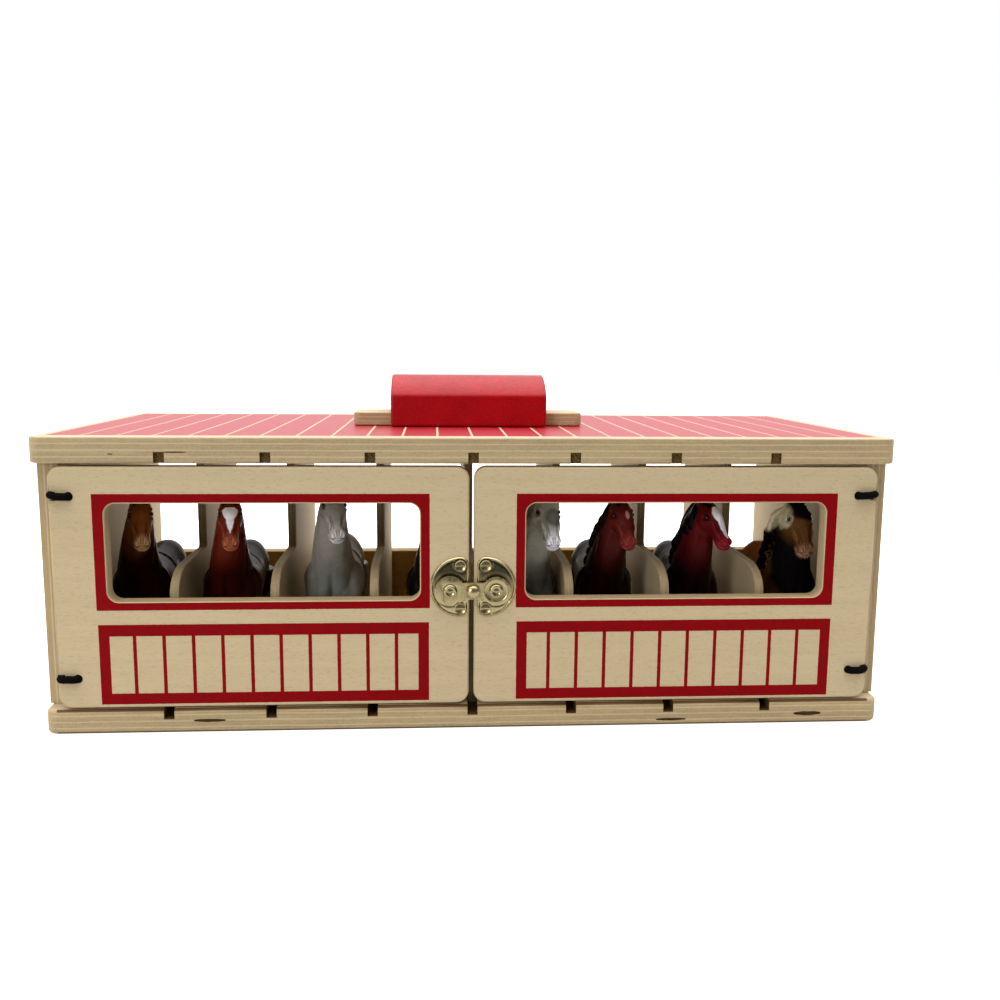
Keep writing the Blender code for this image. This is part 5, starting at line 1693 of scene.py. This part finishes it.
def paint_coat_and_shade(mesh, points, coat, hair, head):
    """Base colour, patches, marking, mane, hooves, painted shade in the nostrils, mouth, eye rims and
    creases, and painted highlights beside the creases. Patches centred outside the neck colour the mane too."""
    base, mane, hooves, patches, marking = COATS[coat]
    colour = np.tile(np.array(linear_colour(base)), (len(points), 1))
    folded = np.column_stack((np.abs(points[:, 0]), points[:, 1:]))
    for patch in patches:
        colour = mixed(colour, patch[0], patch_share(points, patch, head))
    if marking:
        rows = np.array(marking)[::-1]
        on_face = swollen(points, 1 / head)
        half = np.interp(on_face[:, 2], rows[:, 0], rows[:, 1], left=-1, right=-1)
        wander = 0.0015 * np.sin(on_face[:, 2] * 160) + 0.002 * np.sin(on_face[:, 2] * 71 + 2)
        share = np.clip((half + wander - np.abs(on_face[:, 0])) / 0.006 + 0.5, 0, 1)
        colour = mixed(colour, WHITE, share * (on_face[:, 1] < -0.04))
    colour[hair > 0.5] = linear_colour(mane)
    for patch in patches:
        if patch[1][0] < -0.15:
            colour = mixed(colour, patch[0], patch_share(points, patch, head))
    colour[points[:, 2] < 0.068] = linear_colour(hooves)
    # Painted shade in the hollows carved in make_horse: nostrils, mouth line, a ring round each eye, and
    # creases
    size = np.array((0.011, 0.016, 0.013)) * head
    nostril = gauss(folded, swollen((0.048, -0.275, 1.207), head), size)
    mouth = np.exp(-((near_line(folded, swollen(MOUTH, head)) / (0.007 * head)) ** 2))
    lids = np.exp(-(((np.linalg.norm(folded - swollen(EYE, head), axis=1) / head - 0.026) / 0.007) ** 2))
    dark = np.clip(nostril + 0.75 * mouth + 0.7 * lids + 0.55 * crease_share(folded, head), 0, 1)
    colour[:, :3] *= (1 - 0.85 * dark)[:, None]
    # Painted highlights: pale ridges beside the creases
    beside = crease_share(folded - np.array((0.011 * head, 0, 0)), head) * (1 - dark)
    colour[:, :3] *= (1 + 0.5 * beside)[:, None]
    layer = mesh.attributes.new("coat", "FLOAT_COLOR", "POINT")
    layer.data.foreach_set("color", colour.astype(np.float32).ravel())


def crease_share(folded, head):
    """How far each point lies in a crease of the face, seen from the front."""
    flat = folded * np.array((1.0, 0.0, 1.0))
    share = np.zeros(len(folded))
    for line in CREASES:
        path = swollen([(x, 0.0, z) for x, z in line], head) * np.array((1.0, 0.0, 1.0))
        share = np.maximum(share, np.exp(-((near_line(flat, path) / (0.0055 * head)) ** 2)))
    return share * np.clip((-0.15 - folded[:, 1]) / 0.04, 0, 1)


def refine_head(item, head):
    """Splits the head's faces in four, so that eyes, nostrils and markings come out crisp."""
    bm = bmesh.new()
    bm.from_mesh(item.data)
    low = swollen((0, 0, 1.08), head)[2]
    edges = [e for e in bm.edges if all(v.co.y < 0.06 and v.co.z > low for v in e.verts)]
    bmesh.ops.subdivide_edges(bm, edges=edges, cuts=1, use_grid_fill=True)
    near = [v for v in bm.verts if v.co.y < 0.06 and v.co.z > low]
    for _ in range(3):
        bmesh.ops.smooth_vert(bm, verts=near, factor=0.5, use_axis_x=True, use_axis_y=True, use_axis_z=True)
    bm.to_mesh(item.data)
    bm.free()


def make_horse(number, vinyl, enamel):
    """One horse: runs grown together, forms modelled into the skin, coat, glossy eyes."""
    shift, size, turn, lean, head = HORSES[number]
    coat = list(COATS)[number]
    bulk = MANE_BULK.get(coat, 1.0)
    height = WITHERS * size
    bm = bmesh.new()
    add_body_run(bm, TORSO)
    add_body_run(bm, NECK)
    add_body_run(bm, HEAD, swell=head)
    add_mane(bm, random.Random(sizes().seed + number), bulk)
    add_body_run(bm, TAIL, 28, 7, 0.09)
    for side in (-1, 1):
        add_limb_run(bm, FORELEG, side)
        add_limb_run(bm, HINDLEG, side)
        add_limb_run(bm, EAR, side)
    step = sizes().horse_step / height
    horse = grown_skin(coat, bm, step * (1.0))
    refine_head(horse, head)
    mesh = horse.data
    points = point_array(mesh, "co")
    normals = np.array([v.normal for v in mesh.vertices])
    folded = np.column_stack((np.abs(points[:, 0]), points[:, 1:]))
    raise_by = np.zeros(len(points))
    for centre, radii, amount in BODY_FORMS:
        raise_by += amount * gauss(folded, centre, radii)
    for centre, radii, amount in HEAD_FORMS:
        raise_by += amount * head * gauss(folded, swollen(centre, head), np.array(radii) * head)
    raise_by -= 0.010 * head * np.exp(-((near_line(folded, swollen(MOUTH, head)) / (0.007 * head)) ** 2))
    raise_by -= 0.005 * head * crease_share(folded, head)
    hair = hair_share(points, random.Random(sizes().seed + number), bulk)
    carved = points + normals * raise_by[:, None]
    paint_coat_and_shade(mesh, points, coat, hair, head)
    eyes = bmesh.new()
    for side in (-1, 1):
        x, y, z = swollen(EYE, head)
        at = Matrix.Translation((side * x, y, z))
        radius = sizes().eye_radius * head / height
        bmesh.ops.create_uvsphere(eyes, u_segments=20, v_segments=12, radius=radius, matrix=at)
    eye_mesh = bpy.data.meshes.new("eyes")
    eyes.to_mesh(eye_mesh)
    eyes.free()
    eye_points = head_pose(point_array(eye_mesh, "co"), turn, lean)
    place = np.array(((number + 0.5 - STALLS / 2 + shift) * STALL_PITCH, CHEST_Y, GROUND_Z))
    mesh.vertices.foreach_set("co", (head_pose(carved, turn, lean) * height + place).ravel())
    eye_mesh.vertices.foreach_set("co", (eye_points * height + place).ravel())
    joined = bmesh.new()
    joined.from_mesh(mesh)
    first = len(joined.faces)
    joined.from_mesh(eye_mesh)
    joined.to_mesh(mesh)
    joined.free()
    bpy.data.meshes.remove(eye_mesh)
    mesh.shade_smooth()
    finish_piece(horse, f"toy_horse_{number + 1}", [vinyl, enamel], [f"horse_{number + 1}"])
    mesh.polygons.foreach_set("material_index", [int(i >= first) for i in range(len(mesh.polygons))])


def make_horses():
    vinyl = painted_vinyl("airbrushed_vinyl", 0.3)
    flocked = painted_vinyl("flocked_vinyl", 0.85)
    # Glossy black enamel, dotted on by hand
    black = linear_colour("0c0908")
    enamel, _, _ = new_material("black_eye_enamel", Roughness=0.08, IOR=1.5, Base_Color=black)
    for number in range(STALLS):
        make_horse(number, flocked if number == STALLS - 1 else vinyl, enamel)


def flock_tree():
    """A node tree that sets short fibres on a surface, leaning back and down."""
    inputs = {"Geometry": "Geometry", "Density": "Float", "Length": "Float", "Width": "Float", "Seed": "Int"}
    inputs |= {"Lean": "Vector", "Lowest": "Float", "Finish": "Material"}
    tree, given = open_tree("flock_fibres", inputs)
    dots = add(
        tree,
        "GeometryNodeDistributePointsOnFaces",
        {"Mesh": given["Geometry"], "Density": given["Density"], "Seed": given["Seed"]},
        distribute_method="RANDOM",
    )
    lean = add(tree, "VectorMath", {0: dots.outputs["Normal"], 1: given["Lean"]}, operation="ADD")
    turn = add(tree, "FunctionNodeAlignRotationToVector", {"Vector": lean}, axis="Z")
    fibre = add(
        tree,
        "GeometryNodeMeshCone",
        {"Vertices": 3, "Radius Top": 0.0, "Radius Bottom": given["Width"], "Depth": given["Length"]},
        fill_type="NONE",
    )
    size = add(tree, "FunctionNodeRandomValue", {2: 0.55, 3: 1.1, "Seed": given["Seed"]}, data_type="FLOAT")
    height = add(tree, "SeparateXYZ", {0: add(tree, "GeometryNodeInputPosition")})
    above = add(tree, "Math", {0: height.outputs[2], 1: given["Lowest"]}, operation="GREATER_THAN")
    laid = add(
        tree,
        "GeometryNodeInstanceOnPoints",
        {
            "Points": dots.outputs["Points"],
            "Selection": above,
            "Instance": fibre.outputs["Mesh"],
            "Rotation": turn,
            "Scale": size.outputs[1],
        },
    )
    return close_tree(tree, laid, given["Finish"])


def make_flock():
    """Short fibres all over the flocked horse."""
    host = bpy.data.objects["horse_pinto"].data.copy()
    fibre = painted_vinyl("flock_fibre", 0.95)
    values = {
        "Density": sizes().flock_density * 1.0,
        "Length": sizes().flock_length,
        "Width": 0.13 * MM,
        "Seed": sizes().seed,
        "Lean": (0.0, 0.5, -0.6),
        # The hooves' soles and rims are bare
        "Lowest": BASE_HIGH.z + 1.1 * MM,
        "Finish": fibre,
    }
    flock = grown_piece("horse_pinto_flock", flock_tree(), values, host)
    finish_piece(flock, "toy_horse_8", [fibre])


# Stage


def aim_light(name, place, target, size, power, colour=(1, 1, 1)):
    data = bpy.data.lights.new(name, "AREA")
    data.shape = "RECTANGLE"
    data.size, data.size_y = size
    data.energy = power
    data.color = colour
    light = bpy.data.objects.new(name, data)
    bpy.context.scene.collection.objects.link(light)
    light.location = place
    light.rotation_euler = (Vector(target) - Vector(place)).to_track_quat("-Z", "Y").to_euler()
    return light


def make_stage():
    scene = bpy.context.scene
    scene.view_settings.view_transform = "Standard"
    bm = bmesh.new()
    bmesh.ops.create_grid(bm, x_segments=2, y_segments=2, size=6.0)
    floor = loose_object("floor", bm)
    for vertex in floor.data.vertices:
        vertex.co.z = -0.0001
    floor.data.materials.append(lit_table())
    world = bpy.data.worlds.new("studio")
    scene.world = world
    world.use_nodes = True
    tree = world.node_tree
    # White backdrop behind, dim room in front, soft light overhead. The lens sees plain white
    way = add(tree, "SeparateXYZ", {0: add(tree, "TexCoord").outputs["Generated"]}).outputs
    smooth = {"interpolation_type": "SMOOTHSTEP"}
    back = add(tree, "MapRange", {0: way[1], 1: -0.3, 2: 0.2, 3: 0.10, 4: 1.0}, **smooth)
    high = add(tree, "MapRange", {0: way[2], 1: 0.45, 2: 1.0, 3: 0.0, 4: 3.2}, **smooth)
    sky = add(tree, "Math", {0: back, 1: high}, operation="ADD")
    seen = add(tree, "LightPath").outputs["Is Camera Ray"]
    level = add(tree, "Mix", {0: seen, 2: sky, 3: 1.0})
    connect(tree.nodes["Background"], {"Color": (1.0, 1.0, 1.0, 1.0), "Strength": level})
    aim_light("left_softbox", (-1.1, -1.5, 0.55), (0, 0, 0.06), (0.7, 0.7), 12.0)
    # The soft bounce behind the open back
    bounce = aim_light("back_bounce", (0, 0.45, 0.06), (0, 0, 0.06), (0.7, 0.1), 1.5, (1, 0.88, 0.74))
    bounce.visible_glossy = False
    yaw, pitch, roll = CAMERA_TURN
    forward = Vector((math.sin(yaw) * math.cos(pitch), math.cos(yaw) * math.cos(pitch), math.sin(pitch)))
    level = Vector((math.cos(yaw), -math.sin(yaw), 0))
    down = forward.cross(level)
    right = level * math.cos(roll) + down * math.sin(roll)
    below = -level * math.sin(roll) + down * math.cos(roll)
    lens = bpy.data.cameras.new("camera")
    lens.lens = CAMERA_LENS
    lens.sensor_width = 36.0
    lens.clip_start = 0.01
    camera = bpy.data.objects.new("camera", lens)
    scene.collection.objects.link(camera)
    turn = Matrix((right, -below, -forward)).transposed().to_4x4()
    camera.matrix_world = Matrix.Translation(CAMERA_PLACE) @ turn
    scene.camera = camera


def run(work):
    work()
    return {"FINISHED"}


class StableStage(bpy.types.Operator):
    """Floor, soft studio light and the photograph's camera"""

    bl_idname = "stable.stage"
    bl_label = "Stage"

    def execute(self, context):
        return run(make_stage)


class StableBase(bpy.types.Operator):
    """Grooved plywood base"""

    bl_idname = "stable.base"
    bl_label = "Base"

    def execute(self, context):
        return run(make_base)


class StableRoof(bpy.types.Operator):
    """Plywood roof with its printed boards"""

    bl_idname = "stable.roof"
    bl_label = "Roof"

    def execute(self, context):
        return run(make_roof)


class StableWalls(bpy.types.Operator):
    """Side walls"""

    bl_idname = "stable.walls"
    bl_label = "Side walls"

    def execute(self, context):
        return run(make_side_walls)


class StableRail(bpy.types.Operator):
    """Low rail behind the horses"""

    bl_idname = "stable.rail"
    bl_label = "Back rail"

    def execute(self, context):
        return run(make_rail)


class StableDividers(bpy.types.Operator):
    """Seven stall dividers"""

    bl_idname = "stable.dividers"
    bl_label = "Dividers"

    def execute(self, context):
        return run(make_dividers)


class StableDoors(bpy.types.Operator):
    """Two printed doors with windows"""

    bl_idname = "stable.doors"
    bl_label = "Doors"

    def execute(self, context):
        make_door("left", -1)
        make_door("right", 1)
        return {"FINISHED"}


class StableHandle(bpy.types.Operator):
    """Handle plate and painted grip"""

    bl_idname = "stable.handle"
    bl_label = "Handle"

    def execute(self, context):
        return run(make_handle)


class StableScrews(bpy.types.Operator):
    """Screws below the handle"""

    bl_idname = "stable.screws"
    bl_label = "Handle screws"

    def execute(self, context):
        return run(make_screws)


class StablePlates(bpy.types.Operator):
    """Stamped latch plates"""

    bl_idname = "stable.plates"
    bl_label = "Latch plates"

    def execute(self, context):
        return run(make_latch_plates)


class StableFixings(bpy.types.Operator):
    """Nails and rivets of the latch"""

    bl_idname = "stable.fixings"
    bl_label = "Latch fixings"

    def execute(self, context):
        return run(make_latch_fixings)


class StableHook(bpy.types.Operator):
    """Hook and its knob"""

    bl_idname = "stable.hook"
    bl_label = "Hook"

    def execute(self, context):
        return run(make_hook)


class StableCords(bpy.types.Operator):
    """Elastic hinge cords"""

    bl_idname = "stable.cords"
    bl_label = "Hinge cords"

    def execute(self, context):
        return run(make_cords)


class StableHorses(bpy.types.Operator):
    """Eight toy horses"""

    bl_idname = "stable.horses"
    bl_label = "Horses"

    def execute(self, context):
        return run(make_horses)


class StableFlock(bpy.types.Operator):
    """Fibres of the flocked horse"""

    bl_idname = "stable.flock"
    bl_label = "Flock"

    def execute(self, context):
        return run(make_flock)


STEPS = (
    StableStage,
    StableCords,
    StableBase,
    StableRoof,
    StableWalls,
    StableRail,
    StableDividers,
    StableDoors,
    StableHandle,
    StableScrews,
    StablePlates,
    StableFixings,
    StableHook,
    StableHorses,
    StableFlock,
)


class StablePanel(bpy.types.Panel):
    """Lists the steps that build the stable."""

    bl_idname = "VIEW3D_PT_stable"
    bl_label = "Toy Horse Stable"
    bl_space_type = "VIEW_3D"
    bl_region_type = "UI"
    bl_category = "Stable"

    def draw(self, context):
        for step in STEPS:
            self.layout.operator(step.bl_idname)


CLASSES = (StableSizes, StableColours, *STEPS, StablePanel)


def register():
    for kind in CLASSES:
        bpy.utils.register_class(kind)
    bpy.types.Scene.stable_sizes = PointerProperty(type=StableSizes)
    bpy.types.Scene.stable_colours = PointerProperty(type=StableColours)


def unregister():
    del bpy.types.Scene.stable_colours
    del bpy.types.Scene.stable_sizes
    for kind in reversed(CLASSES):
        bpy.utils.unregister_class(kind)


def main():
    register()
    for step in STEPS:
        group, name = step.bl_idname.split(".")
        getattr(getattr(bpy.ops, group), name)()


if __name__ == "__main__":
    main()
